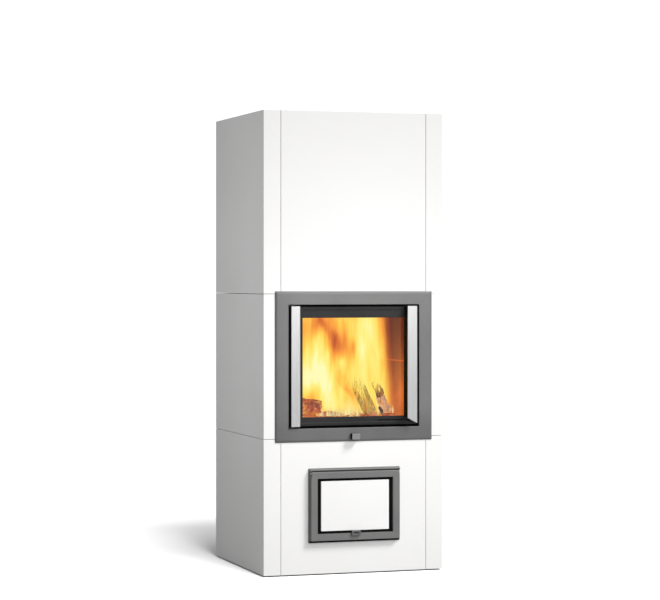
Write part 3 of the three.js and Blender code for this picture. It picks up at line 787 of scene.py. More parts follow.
o = rounded_block("fire_door_glass", -237, 237, Y(10.3), Y(14.3), 631, 1068, 0.8, GLASS, rc=4)
put(o, "fire_door", "door_glass", "door_glass")
sections = [(*r_, rr, y) for r_, rr, y in (
    ((-237, 237, 631, 1068), 4, Y(15.2)), ((-236.4, 236.4, 631.6, 1067.4), 4, Y(14.6)),
    ((-231.6, 231.6, 636.4, 1062.6), 3, Y(14.6)), ((-231, 231, 637, 1062), 3, Y(15.2)),
    ((-231, 231, 637, 1062), 3, Y(17.0)), ((-231.6, 231.6, 636.4, 1062.6), 3, Y(17.6)),
    ((-236.4, 236.4, 631.6, 1067.4), 4, Y(17.6)), ((-237, 237, 631, 1068), 4, Y(17.0)))]
o = profile_ring("glass_seal_tape", sections, ROPE, n=4)
put(o, "fire_door", "seal_rope", "glass_gasket")
sections = [(*r_, rr, y) for r_, rr, y in (
    ((-239.4, 239.4, 628.6, 1070.4), 3, Y(17.9)), ((-239.4, 239.4, 628.6, 1070.4), 3, Y(20.4)),
    ((-238.8, 238.8, 629.2, 1069.8), 2.6, Y(20.9)), ((-231.6, 231.6, 636.4, 1062.6), 2.4, Y(20.9)),
    ((-231, 231, 637, 1062), 2, Y(20.4)), ((-231, 231, 637, 1062), 2, Y(17.9)))]
o = profile_ring("glass_clamp_frame", sections, FITTING, n=4)
put(o, "fire_door", "fitting_steel", "glass_retainer")

# rope seal: a round braided rope let into the back of the leaf
sections = []
for i in range(12):
    a = 2 * math.pi * i / 12
    inset = 5.0 * math.cos(a)
    sections.append((-246 - inset, 246 + inset, 623 - inset, 1077 + inset, 13.0 + inset, Y(31.5) + 5.1 * math.sin(a)))
o = profile_ring("door_rope", sections, ROPE, n=8, smooth_deg=60)
put(o, "fire_door", "seal_rope", "door_rope_seal")

# left trim strip, a channel of brushed sheet with tight bends
t = 3.0
x0, x1, v0, v1 = -274.8, -236.2, -15.5, 3.7
outline = outline_round(
    [(x0, Y(v1)), (x0, Y(v0)), (x1, Y(v0)), (x1, Y(v1)), (x1 - t, Y(v1)), (x1 - t, Y(v0) + t), (x0 + t, Y(v0) + t), (x0 + t, Y(v1))],
    [0.4, 1.6, 2.9, 0.4, 0.4, 0.6, 0.6, 0.4],
)
o = prism("left_trim_channel", outline, 609.5, 1100.5, BRUSHED, edge=0.5)
o.data.materials.append(BLACK_MATT)
for f in o.data.polygons:  # its flanges, that stand on the leaf, take the matt black
    if abs(f.normal.x) > 0.9 and f.center.y / MM > Y(-13.6):
        f.material_index = 1
put(o, "fire_door", "brushed_trim", "trim_strip")

# right handle strip: flange, web and foot, the lower end cut obliquely
x0, x1 = 223.0, 265.7
t = 3.5
outline = outline_round(
    [
        (x0, Y(-32)),
        (x1, Y(-32)),
        (x1, Y(-28.5)),
        (x0 + t, Y(-28.5)),
        (x0 + t, Y(0.2)),
        (252, Y(0.2)),
        (252, Y(3.7)),
        (x0, Y(3.7)),
    ],
    [2.4, 1.9, 0.8, 0.8, 0.8, 0.8, 0.8, 1.4],
)


def handle_strip():
    bm = bmesh.new()
    slope = (616.2 - 638.4) / (x1 - x0)
    low = lambda x: 638.4 + slope * (x - x0)
    rings = []
    for top in (False, True):
        rings.append([bm.verts.new(Vector((a, b, 1100.5 if top else low(a))) * MM) for a, b in outline])
    m = len(outline)
    for i in range(m):
        j = (i + 1) % m
        bm.faces.new((rings[0][i], rings[0][j], rings[1][j], rings[1][i]))
    bm.faces.new(rings[0])
    bm.faces.new(reversed(rings[1]))
    bmesh.ops.recalc_face_normals(bm, faces=bm.faces[:])
    rims = [f for f in bm.faces if len(f.verts) > 10]
    edges = list({e for f in rims for e in f.edges})
    bmesh.ops.bevel(bm, geom=edges, offset=0.5 * MM, offset_type="OFFSET", segments=2, profile=0.5, affect="EDGES", clamp_overlap=True)
    o = finish_mesh(bm, "handle_strip", BRUSHED)
    o.data.materials.append(BLACK_MATT)
    for f in o.data.polygons:  # the web's outer side and the foot take the matt black
        c = f.center / MM
        if (f.normal.x < -0.9 and c.x < x0 + 0.1) or c.y > Y(-0.2):
            f.material_index = 1
    return o


put(handle_strip(), "fire_door", "brushed_trim", "door_handle")

# ---------------------------------------------------------------- lower door

CASE = (-194.5, 194.5, 136.5, 433.6)
LIP_IN = (-189.3, 189.3, 140.4, 429.2)
sections = []
for i in range(4):
    a = math.pi / 2 * i / 3
    inset = 1.6 * (1 - math.sin(a))
    sections.append((*grown(CASE, -inset), max(2.5 - inset, 0.4), Y(-22 + 1.6 * (1 - math.cos(a)))))
sections += [
    (*CASE, 2.5, Y(-3.2)),
    (*grown(CASE, 0.5), 2.5, Y(-2.6)),
    (*grown(CASE, 3.4), 2.5, Y(-2.5)),
    (*grown(CASE, 4.0), 2.5, Y(-2.0)),
    (*grown(CASE, 4.0), 2.5, Y(-0.3)),
    (-182, 182, 148, 412, 1.5, Y(-0.3)),
    (-182, 182, 148, 412, 1.5, Y(-5.2)),
    (-182.5, 182.5, 147.5, 412.5, 1.5, Y(-5.7)),
    (*LIP_IN, 1.5, Y(-5.7)),
    (*LIP_IN, 1.5, Y(-21.2)),
    (*grown(LIP_IN, 0.6), 1.5, Y(-22)),
]
o = profile_ring("ash_door_box", sections, GREY, n=4, cuts=[(-200, 200, Y(-30), Y(-13.4), 130, 426.6), (-200, 200, Y(-30), Y(-8), 130, 141.6)])
# painted shade: the casing's bottom rim and the underside of its top lip are made matt black, for the shadow in the
# gaps below and above the flap
o.data.materials.append(BLACK_MATT)
for f in o.data.polygons:
    c = f.center
    if (c.z < 0.1424 and abs(c.x) < 0.1935) or (0.4258 < c.z < 0.4294 and f.normal.z < -0.3):
        f.material_index = 1
put(o, "stove_body", "grey_paint", "ash_door_casing")

FLAP = (-192.4, 192.4, 141.6, 423.4)
FLAP_IN = (-164.4, 163.0, 169.8, 396.0)
sections = []
for i in range(5):
    a = math.pi / 2 * i / 4
    inset = 2.4 * (1 - math.sin(a))
    sections.append((*grown(FLAP, -inset), max(2.6 - inset, 0.4), Y(-23 + 2.4 * (1 - math.cos(a)))))
sections += [
    (*grown(FLAP, 0), 2.6, Y(-14.6)),
    (*grown(FLAP, -0.4), 2.2, Y(-14.2)),
    (-187.6, 187.6, 146.0, 423.0, 2.2, Y(-14.2)),
    (-187.6, 187.6, 146.0, 423.0, 2.2, Y(-10.4)),
    (-187.2, 187.2, 146.4, 422.6, 2.0, Y(-10)),
    (-172, 172, 160, 404, 2.0, Y(-10)),
    (-172, 172, 160, 404, 2.0, Y(7.5)),
    (-171.5, 171.5, 160.5, 403.5, 2.0, Y(8)),
    (-164.9, 163.5, 169.3, 396.5, 1.2, Y(8)),
    (*FLAP_IN, 1.0, Y(7.5)),
    (*FLAP_IN, 1.0, Y(-22.0)),
    (*grown(FLAP_IN, 0.3), 1.2, Y(-22.7)),
    (*grown(FLAP_IN, 1.0), 1.6, Y(-23)),
]
# the front flange is notched beside the hinge pins, so that it can swing up
notches = [(-195, -188.2, Y(-26), Y(-14.0), 404, 428), (188.2, 195, Y(-26), Y(-14.0), 404, 428)]
o = profile_ring("ash_door_frame", sections, GREY, n=4, cuts=notches)
put(o, "ash_door", "grey_paint", "ash_door_leaf")

o = rounded_block("ash_door_infill", -147.8, 146.2, Y(-17), Y(-9), 180.8, 385.0, 1.2, WHITE, rc=1.6)
put(o, "ash_door", "white_slab", "ash_door_panel")
o = rounded_block("ash_door_rear_sheet", -164.1, 162.7, Y(-8.7), Y(-6.7), 170.1, 395.7, 0.6, BLACK_MATT, rc=1.5)
put(o, "ash_door", "black_paint", "ash_door_back_plate")


def pull_plate():
    """Loop plate with an oval finger hole, on a flat stem."""
    bm = bmesh.new()
    e = 0.9
    front = []
    for i in range(4):
        a = math.pi / 2 * i / 3
        inset = e * (1 - math.sin(a))
        front.append((-19.6 + inset, 19.6 - inset, 160 + inset, 182 - inset, 5 - inset, e * (1 - math.cos(a))))
    secs = [(*f[:5], Y(-31) + f[5]) for f in front] + [(*f[:5], Y(-27) - f[5]) for f in reversed(front)]
    hole = [
        (-11.5 - e, 11.5 + e, 166.6 - e, 174.6 + e, 3.9 + e, Y(-27)),
        (-11.5, 11.5, 166.6, 174.6, 3.9, Y(-27.9)),
        (-11.5, 11.5, 166.6, 174.6, 3.9, Y(-30.1)),
        (-11.5 - e, 11.5 + e, 166.6 - e, 174.6 + e, 3.9 + e, Y(-31)),
    ]
    loft_bm(bm, secs + hole, "Y", closed=True, n=6)
    loft_bm(bm, fillet((-12, 12, 175.8, 180.2), Y(-27.5), Y(-9), 0.5, 2), "Y", n=2)
    return finish_mesh(bm, "ash_door_loop", DARK_STEEL)


put(pull_plate(), "ash_door", "fitting_steel", "ash_door_pull")

# --------------------------------------------------------------- air control

# a black knob with a steel face, its back edge set in a little
k_ = fillet((-17.3, 17.3, 553.5, 578), Y(-28), Y(-7), 1.1, 4, 2.2)
bm = bmesh.new()
loft_bm(bm, k_, "Y", n=4)
o = finish_mesh(bm, "air_knob", BLACK_MATT)
o.data.materials.append(KNOB_FACE)
for f in o.data.polygons:
    if f.normal.y < -0.35:
        f.material_index = 1
put(o, "air_control", "fitting_steel", "air_control_tab")

# ------------------------------------------------------- firebox and ash drawer


def bricks(name, xs, ys, zs, r, look):
    """Bricks laid dry between the given joints, with rounded arrises, as one piece."""
    bm = bmesh.new()
    j = 0.7
    for x0, x1 in zip(xs, xs[1:]):
        for y0, y1 in zip(ys, ys[1:]):
            for z0, z1 in zip(zs, zs[1:]):
                a = x0 + (j if x0 != xs[0] else 0), x1 - (j if x1 != xs[-1] else 0)
                b = y0 + (j if y0 != ys[0] else 0), y1 - (j if y1 != ys[-1] else 0)
                c = z0 + (j if z0 != zs[0] else 0), z1 - (j if z1 != zs[-1] else 0)
                loft_bm(bm, fillet((*a, *c), b[0], b[1], r, 3), "Y", n=3)
    return finish_mesh(bm, name, look)


COURSE = [636.3, 870.4, 1085.0]
put(bricks("left_firebricks", [-286, -236], [-284, -52, 180], COURSE, 2.6, FIREBRICK), "stove_body", "firebrick", "firebrick_left")
put(bricks("right_firebricks", [236, 286], [-284, -52, 180], COURSE, 2.6, FIREBRICK), "stove_body", "firebrick", "firebrick_right")
put(bricks("rear_firebricks", [-235.7, 0, 235.7], [130, 180], COURSE, 2.6, FIREBRICK), "stove_body", "firebrick", "firebrick_back")
put(bricks("baffle_tiles", [-261.7, 0, 261.7], [-165, 239.7], [1085.3, 1115], 3.5, FIREBRICK), "stove_body", "firebrick", "baffle_plate")


def drawer_tray():
    """Folded sheet drawer with rounded corners and a rim rolled over."""
    out = (-150.0, 150.0, -320.0, 80.0)
    bm = bmesh.new()
    secs = []
    for i in range(4):
        a = math.pi / 2 * i / 3
        secs.append((*grown(out, -1.2 - 3.0 * (1 - math.sin(a))), 6.0, 149.6 + 3.0 * (1 - math.cos(a))))
    secs.append((*grown(out, -1.2), 6.0, 255.0))
    for i in range(9):
        a = math.radians(-60 + 300 * i / 8)
        secs.append((*grown(out, -2.7 + 2.7 * math.cos(a)), 6.5 + math.cos(a), 259.2 + 2.8 * math.sin(a)))
    secs.append((*grown(out, -3.4), 4.4, 255.0))
    for i in range(4):
        a = math.pi / 2 * i / 3
        secs.append((*grown(out, -3.4 - 2.4 * (1 - math.cos(a))), 4.4, 154.2 - 2.4 * math.sin(a)))
    loft_bm(bm, secs, "Z", n=5)
    return finish_mesh(bm, "drawer_tray", SHEET)


put(drawer_tray(), "ash_drawer_body", "sheet_steel", "ash_drawer")
outline = outline_round(
    [(-45, -320.3), (-45, -338), (45, -338), (45, -320.3), (39, -320.3), (39, -333), (-39, -333), (-39, -320.3)],
    [0.5, 6.0, 6.0, 0.5, 0.5, 2.4, 2.4, 0.5],
)
put(prism("drawer_bow", outline, 205, 217, FITTING, edge=1.6), "ash_drawer_body", "fitting_steel", "ash_drawer_handle")

# ---------------------------------------------------------------------- fire


def flame_field():
    """The flame wall's colour: a heat field of soft tongues and dark gaps, drawn through stretched noise, then a fire palette."""
    k = Look("flame_wall")
    rough = k.node("ShaderNodeTexNoise")
    rough.inputs["Scale"].default_value = 16.0
    rough.inputs["Detail"].default_value = 3.0
    k.link(k.scaled((1.0, 1.0, 0.34)), rough.inputs["Vector"])
    shift = k.node("ShaderNodeVectorMath", operation="SUBTRACT")
    k.link(rough.outputs["Color"], shift.inputs[0])
    shift.inputs[1].default_value = (0.5, 0.5, 0.5)
    amount = k.node("ShaderNodeVectorMath", operation="MULTIPLY")
    k.link(shift.outputs[0], amount.inputs[0])
    amount.inputs[1].default_value = (0.046, 0.0, 0.095)
    bent = k.node("ShaderNodeVectorMath", operation="ADD")
    k.link(k.coord, bent.inputs[0])
    k.link(amount.outputs[0], bent.inputs[1])
    where = bent.outputs[0]

    def blob(x, z, rx, rz, turn):
        m = k.node("ShaderNodeMapping", vector_type="TEXTURE")
        m.inputs["Location"].default_value = (x * MM, 0, z * MM)
        m.inputs["Rotation"].default_value = (0, math.radians(turn), 0)
        m.inputs["Scale"].default_value = (rx * MM, 1000.0, rz * MM)
        k.link(where, m.inputs["Vector"])
        d = k.node("ShaderNodeVectorMath", operation="DOT_PRODUCT")
        k.link(m.outputs["Vector"], d.inputs[0])
        k.link(m.outputs["Vector"], d.inputs[1])
        return k.math("EXPONENT", k.math("MULTIPLY", d.outputs["Value"], -1.0))

    x, y, z = k.xyz()
    heat = k.range(z, 0.63, 1.09, 0.80, 0.74)
    for px, pz, rx, rz, turn, w in (
        (-142, 1010, 42, 76, 0, -0.22),
        (-84, 1030, 34, 52, 0, -0.26),
        (-90, 900, 22, 90, -4, 0.08),
        (-40, 1045, 30, 40, 0, -0.18),
        (-22, 946, 30, 56, 0, -0.44),
        (-44, 918, 10, 40, 8, 0.10),
        (-60, 1008, 16, 46, -35, -0.15),
        (46, 746, 12, 60, -35, -0.19),
        (16, 1000, 20, 60, 0, -0.24),
        (22, 926, 24, 48, 0, -0.22),
        (58, 908, 13, 44, 0, -0.26),
        (12, 868, 16, 22, 0, 0.12),
        (120, 900, 62, 240, 0, 0.16),
        (120, 1070, 80, 50, 0, -0.08),
        (-110, 812, 66, 78, 0, 0.26),
        (-40, 770, 36, 70, 0, 0.10),
        (30, 800, 11, 60, -30, -0.10),
        (-128, 668, 40, 46, 0, -0.56),
        (-104, 738, 34, 32, 0, -0.14),
        (-28, 700, 34, 60, 0, 0.12),
        (78, 700, 44, 50, 0, -0.12),
        (222, 1020, 32, 230, 0, -0.40),
        (232, 740, 16, 200, 0, -0.20),
    ):
        heat = k.math("MULTIPLY_ADD", blob(px, pz, rx, rz, turn), w, heat)
    streak = k.noise(34.0, 3.0, 0.55, k.scaled((1.0, 0.2, 0.10)), 0.35)
    heat = k.math("ADD", heat, k.range(streak, 0.28, 0.72, -0.10, 0.09))
    lick = k.noise(14.0, 3.0, 0.55, k.scaled((1.0, 0.2, 0.22), (0.7, 0, 0.4)), 0.8)
    heat = k.math("ADD", heat, k.range(lick, 0.3, 0.7, -0.10, 0.10))
    colour = k.ramp(
        heat,
        [
            (0.00, (0.05, 0.006, 0.003)),
            (0.22, (0.40, 0.055, 0.018)),
            (0.40, (0.76, 0.20, 0.030)),
            (0.55, (0.97, 0.38, 0.050)),
            (0.68, (1.0, 0.58, 0.075)),
            (0.80, (1.0, 0.76, 0.140)),
            (0.92, (1.0, 0.88, 0.250)),
            (1.00, (1.0, 0.95, 0.480)),
        ],
    )
    edge = k.math("MULTIPLY", k.range(x, -0.234, -0.200, 0.0, 1.0, True), k.range(x, 0.192, 0.233, 1.0, 0.0, True))
    low = k.range(z, 0.64, 0.68, 0.55, 1.0, True)
    alpha = k.math("MULTIPLY", edge, low)
    k.set(color=(0.0, 0.0, 0.0), rough=1.0, spec=0.0, emit=colour, emit_strength=1.14, alpha=alpha)
    return k.mat


def flame_tongue_look():
    """A tongue of flame: pale at its root and middle, orange at its thin edges and tip."""
    k = Look("flame_tongue")
    uv = k.node("ShaderNodeUVMap")
    uv.uv_map = "UVMap"
    wob = k.noise(30.0, 3.0, 0.6, k.scaled((1.0, 1.0, 0.3)))
    u, v, _ = k.xyz(uv.outputs["UV"])
    u = k.math("ADD", u, k.range(wob, 0.3, 0.7, -0.14, 0.14))
    side = k.math("ABSOLUTE", k.math("MULTIPLY_ADD", u, 2.0, -1.0))
    core = k.math("SUBTRACT", 1.0, side)
    heat = k.math("SUBTRACT", k.math("MULTIPLY", core, 1.15), k.math("MULTIPLY", v, 0.55))
    colour = k.ramp(
        heat,
        [
            (0.0, (0.95, 0.30, 0.035)),
            (0.22, (1.0, 0.52, 0.07)),
            (0.45, (1.0, 0.80, 0.20)),
            (0.75, (1.0, 0.93, 0.52)),
        ],
    )
    alpha = k.math("MULTIPLY", k.range(core, 0.02, 0.75, 0.0, 0.80, True), k.range(v, 0.30, 1.0, 1.0, 0.0, True))
    alpha = k.math("MULTIPLY", alpha, k.range(v, 0.0, 0.08, 0.0, 1.0, True))
    k.set(color=(0.0, 0.0, 0.0), rough=1.0, spec=0.0, emit=colour, emit_strength=1.0, alpha=alpha)
    return k.mat


def low_flame_look():
    """Low flames over the front of the bed: upright streaks that thin out as they rise."""
    k = Look("low_flames")
    uv = k.node("ShaderNodeUVMap")
    uv.uv_map = "UVMap"
    u, v, _ = k.xyz(uv.outputs["UV"])
    streak = k.noise(24.0, 3.0, 0.6, k.scaled((1.0, 0.2, 0.22), (0.3, 0, 0.1)), 1.2)
    fine = k.noise(90.0, 3.0, 0.6, k.scaled((1.0, 0.2, 0.12)), 0.5)
    reach = k.range(streak, 0.32, 0.68, 0.12, 0.95)
    body = k.range(k.math("SUBTRACT", reach, v), 0.0, 0.62, 0.0, 1.0, True)
    x = k.xyz()[0]
    where = k.math("MULTIPLY", k.range(x, -0.125, -0.085, 0.0, 1.0, True), k.range(x, 0.040, 0.095, 1.0, 0.22, True))
    where = k.math("MULTIPLY", where, k.range(x, 0.160, 0.225, 1.0, 0.0, True))
    heat = k.math("ADD", k.range(v, 0.0, 1.0, 0.95, 0.45), k.range(fine, 0.3, 0.7, -0.10, 0.10))
    colour = k.ramp(
        heat,
        [(0.30, (1.0, 0.50, 0.06)), (0.55, (1.0, 0.72, 0.14)), (0.80, (1.0, 0.86, 0.32)), (1.0, (1.0, 0.94, 0.55))],
    )
    k.set(color=(0.0, 0.0, 0.0), rough=1.0, spec=0.0, emit=colour, emit_strength=1.05,
          alpha=k.math("MULTIPLY", k.math("MULTIPLY", body, where), 0.84))
    return k.mat


def ridges(k, scale, vector=None, detail=4.0, distortion=0.6):
    """Thin lines that wander like cracks: where a noise crosses its middle."""
    n = k.noise(scale, detail, 0.55, vector, distortion)
    return k.range(k.math("ABSOLUTE", k.math("SUBTRACT", n, 0.5)), 0.0, 0.055, 1.0, 0.0, True)


def ember_look():
    k = Look("embers")
    crack = k.math("MAXIMUM", ridges(k, 26.0), k.math("MULTIPLY", ridges(k, 61.0), 0.7))
    ash = k.noise(75.0, 4.0, 0.65)
    big = k.noise(17.0, 3.0, 0.6)
    z = k.xyz()[2]
    hot = k.math("ADD", k.range(big, 0.36, 0.66, 0.10, 1.0), k.range(k.xyz()[1], -0.262, -0.225, 0.30, 0.0, True))
    tone = k.ramp(ash, [(0.36, (0.10, 0.035, 0.025)), (0.60, (0.24, 0.10, 0.075)), (0.76, (0.50, 0.36, 0.33))])
    colour = k.ramp(hot, [(0.0, (0.34, 0.065, 0.035)), (0.45, (0.62, 0.13, 0.035)), (1.0, (1.0, 0.42, 0.07))])
    colour = k.mix(k.math("MULTIPLY", crack, 0.8), colour, (0.10, 0.016, 0.010))
    colour = k.mix(k.range(ash, 0.60, 0.76, 0.0, 0.65, True), colour, (0.60, 0.26, 0.19))
    n = k.bump(crack, -0.7, 0.004)
    n = k.bump(ash, 0.5, 0.002, n)
    k.set(color=tone, rough=0.95, normal=n, emit=colour, emit_strength=k.range(ash, 0.3, 0.7, 0.60, 0.98))
    return k.mat


def log_look(name, bark, char, ash_share, glow, along=(1.0, 1.0, 0.16), turn=0.0, fade=None):
    """Burning wood: fibres along the log, charred cracks and flakes of ash. fade takes its top over into the flames."""
    k = Look(name)
    line = k.scaled(along, turn=(0.0, math.radians(turn), 0.0))
    fibre = k.noise(150.0, 5.0, 0.70, line, 0.2)
    patch = k.noise(30.0, 3.0, 0.6, line, 0.4)
    ash = k.noise(44.0, 4.0, 0.7)
    tone = k.ramp(fibre, [(0.34, char), (0.66, bark)])
    tone = k.mix(k.range(patch, 0.45, 0.68, 0.0, 0.65, True), tone, char)
    tone = k.mix(k.range(ash, 0.62 - 0.3 * ash_share, 0.80 - 0.3 * ash_share, 0.0, 0.85, True), tone, (0.56, 0.42, 0.36))
    crack = k.math("MULTIPLY", ridges(k, 30.0, line), 0.8)
    n = k.bump(crack, -0.7, 0.004)
    n = k.bump(fibre, 0.6, 0.002, n)
    # the cracks glow as burning wood does; elsewhere the wood emits its own tone, painted firelight on its surface
    emit = k.mix(crack, tone, (0.95, 0.36, 0.05) if glow > 0.3 else (0.20, 0.05, 0.02))
    strength = k.range(fibre, 0.3, 0.7, glow * 0.75, glow * 1.25)
    k.set(color=tone, rough=0.94, normal=n, emit=emit, emit_strength=strength)
    if fade:
        z = k.math("ADD", k.xyz()[2], k.range(patch, 0.3, 0.7, -0.03, 0.03))
        z = k.math("ADD", z, k.range(fibre, 0.3, 0.7, -0.03, 0.03))
        k.set(alpha=k.range(z, fade[0], fade[1], fade[2], 0.0, True))
    return k.mat


FLAME_WALL = flame_field()
FLAME_TONGUE = flame_tongue_look()
EMBER = ember_look()
LOW_FLAME = low_flame_look()
LOG_WARM = log_look("log_burning", (0.66, 0.47, 0.09), (0.085, 0.050, 0.010), 0.02, 0.62, turn=-18, fade=(0.675, 0.79, 0.90))
LOG_CHAR = log_look("log_charred", (0.13, 0.10, 0.085), (0.018, 0.014, 0.016), 0.35, 0.55)
LOG_END = log_look("log_end", (0.17, 0.12, 0.10), (0.022, 0.016, 0.018), 0.30, 0.60, turn=-18, fade=(0.735, 0.775, 1.0))
LOG_ASH = log_look("log_ash", (0.80, 0.50, 0.32), (0.20, 0.08, 0.045), 0.75, 0.75, turn=-28)


def sheet(name, fn, nu, nv, look):
    """Grid surface from fn(u, v) in mm, u and v from 0 to 1, with a UV map."""
    bm = bmesh.new()
    uvl = bm.loops.layers.uv.new("UVMap")
    grid = [[bm.verts.new(Vector(fn(i / nu, j / nv)) * MM) for i in range(nu + 1)] for j in range(nv + 1)]
    for j in range(nv):
        for i in range(nu):
            f = bm.faces.new((grid[j][i], grid[j][i + 1], grid[j + 1][i + 1], grid[j + 1][i]))
            for loop, (a, b) in zip(f.loops, ((i, j), (i + 1, j), (i + 1, j + 1), (i, j + 1))):
                loop[uvl].uv = (a / nu, b / nv)
            f.smooth = True
    me = bpy.data.meshes.new(name)
    bm.to_mesh(me)
    bm.free()
    o = bpy.data.objects.new(name, me)
    scene.collection.objects.link(o)
    me.materials.append(look)
    return o


def wall_of_flame(u, v):
    x = -233.0 + 466.0 * u
    z = 640.0 + 436.0 * v
    y = -150.0 + 12.0 * math.sin(6.0 * u + 1.7 * v) + 9.0 * math.sin(13.0 * u - 3.1 * v) + 18.0 * (2 * u - 1) ** 2 * -0.6
    s = min(1.0, max(0.0, (u - 0.86) / 0.14))
    y -= 52.0 * s * s * (3 - 2 * s) * (1.0 - v) ** 1.2  # comes forward low down on the right
    return x, y, z


put(sheet("flame_wall", wall_of_flame, 56, 40, FLAME_WALL), "stove_body", "firebrick")


def tongue(name, x, y, z, height, width, lean, bend=6.0, phase=0.0):
    def fn(u, v):
        w = width * (math.sin(math.pi * min(1.0, 0.12 + 0.88 * (1 - v) ** 0.8)) ** 0.8) * (1.0 - 0.25 * v)
        cx = x + lean * v ** 1.3 + bend * math.sin(3.4 * v + phase) * v
        a = (u - 0.5) * 2
        return cx + a * w / 2, y + 6.0 * (a * a - 0.5) - 4.0 * math.sin(4 * v + phase), z + height * v

    return put(sheet(name, fn, 10, 22, FLAME_TONGUE), "stove_body", "firebrick")


for i, t_ in enumerate((
    (62, -224, 636, 66, 15, -10, 4, 0.2),
    (150, -232, 638, 92, 20, -18, 6, 0.4),
    (166, -226, 640, 54, 16, 8, 4, 2.2),
    (216, -226, 640, 52, 13, 6, 3, 1.0),
)):
    tongue(f"flame_{i + 1}", *t_)


def low_wall(u, v):
    x = -130.0 + 360.0 * u
    return x, -236.0 + 10.0 * math.sin(9.0 * u + 0.6) + 14.0 * v, 637.0 + 150.0 * v


put(sheet("low_flames", low_wall, 40, 16, LOW_FLAME), "stove_body", "firebrick")


def log(name, a, b, r, look, seed, split=False, n=28, m=14):
    """Split log from a to b: an uneven round or half-round section, ragged at the ends."""
    rnd = random.Random(seed)
    a, b = Vector(a), Vector(b)
    axis = (b - a).normalized()
    side = axis.cross(Vector((0, 1, 0)))
    side = side.normalized() if side.length > 0.1 else Vector((1, 0, 0))
    up = axis.cross(side)
    lobes = [(rnd.uniform(0.02, 0.10), k_, rnd.uniform(0, 6.28)) for k_ in (2, 3, 5, 8)]
    bm = bmesh.new()
    rings = []
    for j in range(m + 1):
        t_ = j / m
        c = a.lerp(b, t_)
        c += side * (2.5 * math.sin(5 * t_ + seed)) + up * (2.0 * math.sin(4 * t_ + 2 * seed))
        end = min(t_, 1 - t_)
        shrink = 1.0 if end > 0.03 else 0.90
        ring = []
        for i in range(n):
            ang = 2 * math.pi * i / n
            rad = r * shrink * (1 + sum(w * math.sin(k_ * ang + ph + 1.5 * t_ * k_ * 0.2) for w, k_, ph in lobes))
            rad *= 1 + rnd.uniform(-0.025, 0.025)
            p = side * math.cos(ang) * rad + up * math.sin(ang) * rad
            if split and math.sin(ang) < -0.1:
                p = side * math.cos(ang) * rad + up * (-0.1 * rad + rnd.uniform(-1, 1))
            ring.append(bm.verts.new((c + p + axis * (rnd.uniform(-2.5, 2.5) if end == 0 else 0)) * MM))
        rings.append(ring)
    for p, q in zip(rings, rings[1:]):
        for i in range(n):
            j = (i + 1) % n
            bm.faces.new((p[i], p[j], q[j], q[i]))
    for ring, flip in ((rings[0], False), (rings[-1], True)):
        c = bm.verts.new(sum((v.co for v in ring), Vector()) / n)
        for i in range(n):
            j = (i + 1) % n
            bm.faces.new((c, ring[j], ring[i]) if not flip else (c, ring[i], ring[j]))
    return put(finish_mesh(bm, name, look, 50), "stove_body", "firebrick")


log("log_leaning", (68, -166, 806), (126, -200, 650), 29, LOG_WARM, 3)
log("log_charred_end", (155, -186, 778), (176, -190, 716), 17, LOG_END, 5)
log("log_splinter", (155, -226, 676), (176, -228, 644), 7, LOG_CHAR, 31, n=16)
log("log_ash_end", (170, -190, 724), (211, -196, 654), 18, LOG_ASH, 8)
log("log_left", (-216, -150, 668), (-90, -204, 673), 35, EMBER, 11)
log("log_piece", (-204, -150, 700), (-150, -176, 694), 17, EMBER, 23)
log("log_back", (-190, -40, 676), (190, -70, 680), 36, LOG_CHAR, 13)
log("log_front", (-60, -90, 662), (215, -70, 664), 24, EMBER, 17)


def ember_bed():
    rnd = random.Random(4)
    waves = [(rnd.uniform(8, 60), rnd.uniform(8, 60), rnd.uniform(0, 6.28), rnd.uniform(1.0, 3.2)) for _ in range(14)]

    def fn(u, v):
        x, y = -228 + 456 * u, -262 + 372 * v
        z = 644.0
        for fx, fy, ph, amp in waves:
            z += amp * math.sin(x / 1000 * fx * 2 + y / 1000 * fy * 2 + ph)
        e = min(u, 1 - u, v, 1 - v)
        z += 5.0 * min(1.0, e * 6) - 4.0
        return x, y, max(z, 637.0)

    return put(sheet("ember_bed", fn, 70, 56, EMBER), "stove_body", "firebrick")


ember_bed()

# ------------------------------------------------------------- light and view

world = bpy.data.worlds.new("studio")
scene.world = world
world.use_nodes = True
wn = world.node_tree
bg = wn.nodes["Background"]
bg.inputs["Color"].default_value = (1, 1, 1, 1)
bg.inputs["Strength"].default_value = 0.27
white_bg = wn.nodes.new("ShaderNodeBackground")
white_bg.inputs["Color"].default_value = (1, 1, 1, 1)
white_bg.inputs["Strength"].default_value = 1.15
path = wn.nodes.new("ShaderNodeLightPath")
mixw = wn.nodes.new("ShaderNodeMixShader")
wn.links.new(path.outputs["Is Camera Ray"], mixw.inputs[0])
wn.links.new(bg.outputs[0], mixw.inputs[1])
wn.links.new(white_bg.outputs[0], mixw.inputs[2])
wn.links.new(mixw.outputs[0], wn.nodes["World Output"].inputs[0])


def make_floor(radius=13.0, n=128):
    bm = bmesh.new()
    ring = [bm.verts.new((radius * math.cos(2 * math.pi * i / n), radius * math.sin(2 * math.pi * i / n), 0)) for i in range(n)]
    bm.faces.new(ring)
    me = bpy.data.meshes.new("floor")
    bm.to_mesh(me)
    bm.free()
    o = bpy.data.objects.new("floor", me)
    scene.collection.objects.link(o)
    k = Look("floor_paint")
    cloud = k.noise(0.8, 2.0, 0.5)
    seen = k.ramp(cloud, [(0.3, (0.86, 0.86, 0.858)), (0.7, (0.88, 0.88, 0.879))])
    ray = k.node("ShaderNodeLightPath").outputs["Is Camera Ray"]
    # looks white, but throws back less light, as a floor in a dark studio does
    k.set(
        color=k.mix(ray, (0.20, 0.20, 0.20), seen),
        rough=k.range(cloud, 0.3, 0.7, 0.82, 0.9),
        spec=0.1,
    )
    me.materials.append(k.mat)
    return o


floor = make_floor()


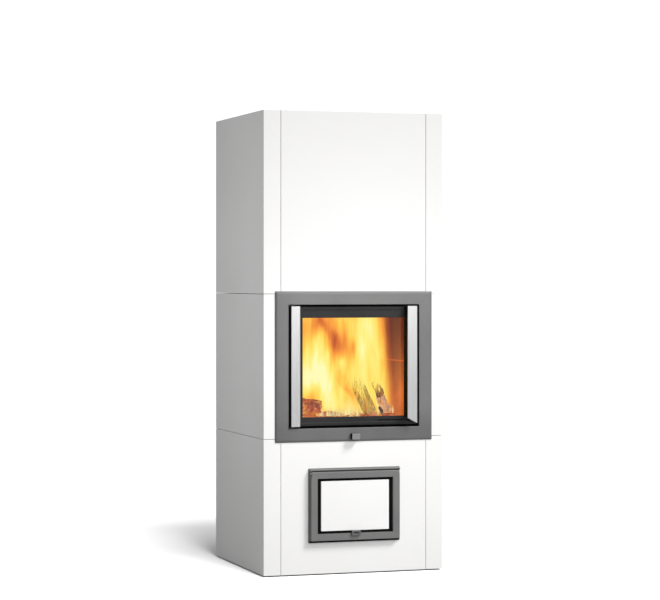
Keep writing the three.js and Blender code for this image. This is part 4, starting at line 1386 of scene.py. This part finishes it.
def only(light, obj, include):
    """Lets a light reach one object alone, or everything but that object."""
    c = bpy.data.collections.new(light.name + "_reach")
    c.objects.link(obj)
    c.collection_objects[0].light_linking.link_state = "INCLUDE" if include else "EXCLUDE"
    light.light_linking.receiver_collection = c


def sun(name, towards, strength, angle, color=(1, 1, 1)):
    d = bpy.data.lights.new(name, "SUN")
    d.energy = strength
    d.angle = math.radians(angle)
    d.color = color
    o = bpy.data.objects.new(name, d)
    scene.collection.objects.link(o)
    o.rotation_mode = "QUATERNION"
    o.rotation_quaternion = (-Vector(towards)).to_track_quat("-Z", "Y")
    return o


def area(name, at, look_at, size, power, color=(1, 1, 1)):
    d = bpy.data.lights.new(name, "AREA")
    d.shape = "RECTANGLE"
    d.size, d.size_y = size
    d.energy = power
    d.color = color
    o = bpy.data.objects.new(name, d)
    scene.collection.objects.link(o)
    o.location = at
    o.rotation_mode = "QUATERNION"
    o.rotation_quaternion = (Vector(look_at) - Vector(at)).to_track_quat("-Z", "Y")
    return o


key = sun("key", (1.15, -1.0, 1.65), 2.72, 18, (1.0, 0.995, 0.985))
only(key, floor, False)
over = sun("broad", (0.80, -1.13, 1.80), 2.23, 51)
only(over, floor, True)
ground = sun("ground", (-0.02, -1.46, 1.80), 3.1, 17.5)
only(ground, floor, True)
area("front_panel", (1.1, -3.9, 1.9), (0.0, -0.37, 0.95), (2.2, 1.3), 26.0)
fill = area("front_fill", (0.08, -1.62, 0.93), (0.05, -0.36, 0.91), (0.66, 0.66), 6.9)
side = area("side_fill", (-1.85, -0.26, 1.30), (-0.39, -0.24, 1.30), (0.6, 0.6), 5.4)
for o in (fill, side):
    o.visible_glossy = False
    o.visible_transmission = False
for o in scene.objects:
    if o.type == "LIGHT":
        o.visible_camera = False

cam_data = bpy.data.cameras.new("camera")
cam = bpy.data.objects.new("camera", cam_data)
scene.collection.objects.link(cam)
YAW = math.radians(18.30)
cam.location = (-2.974, -9.041, 1.211)
cam.rotation_mode = "QUATERNION"
cam.rotation_quaternion = Vector((math.sin(YAW), math.cos(YAW), 0)).to_track_quat("-Z", "Y")
cam_data.sensor_width = 36.0
cam_data.lens = 36.0 * 2229.8 / 660.0
cam_data.shift_x = 0.0
cam_data.shift_y = -(300.0 - 279.26) / 660.0
cam_data.clip_start, cam_data.clip_end = 0.1, 200.0
scene.camera = cam
scene.view_settings.view_transform = "Standard"
scene.view_settings.look = "None"
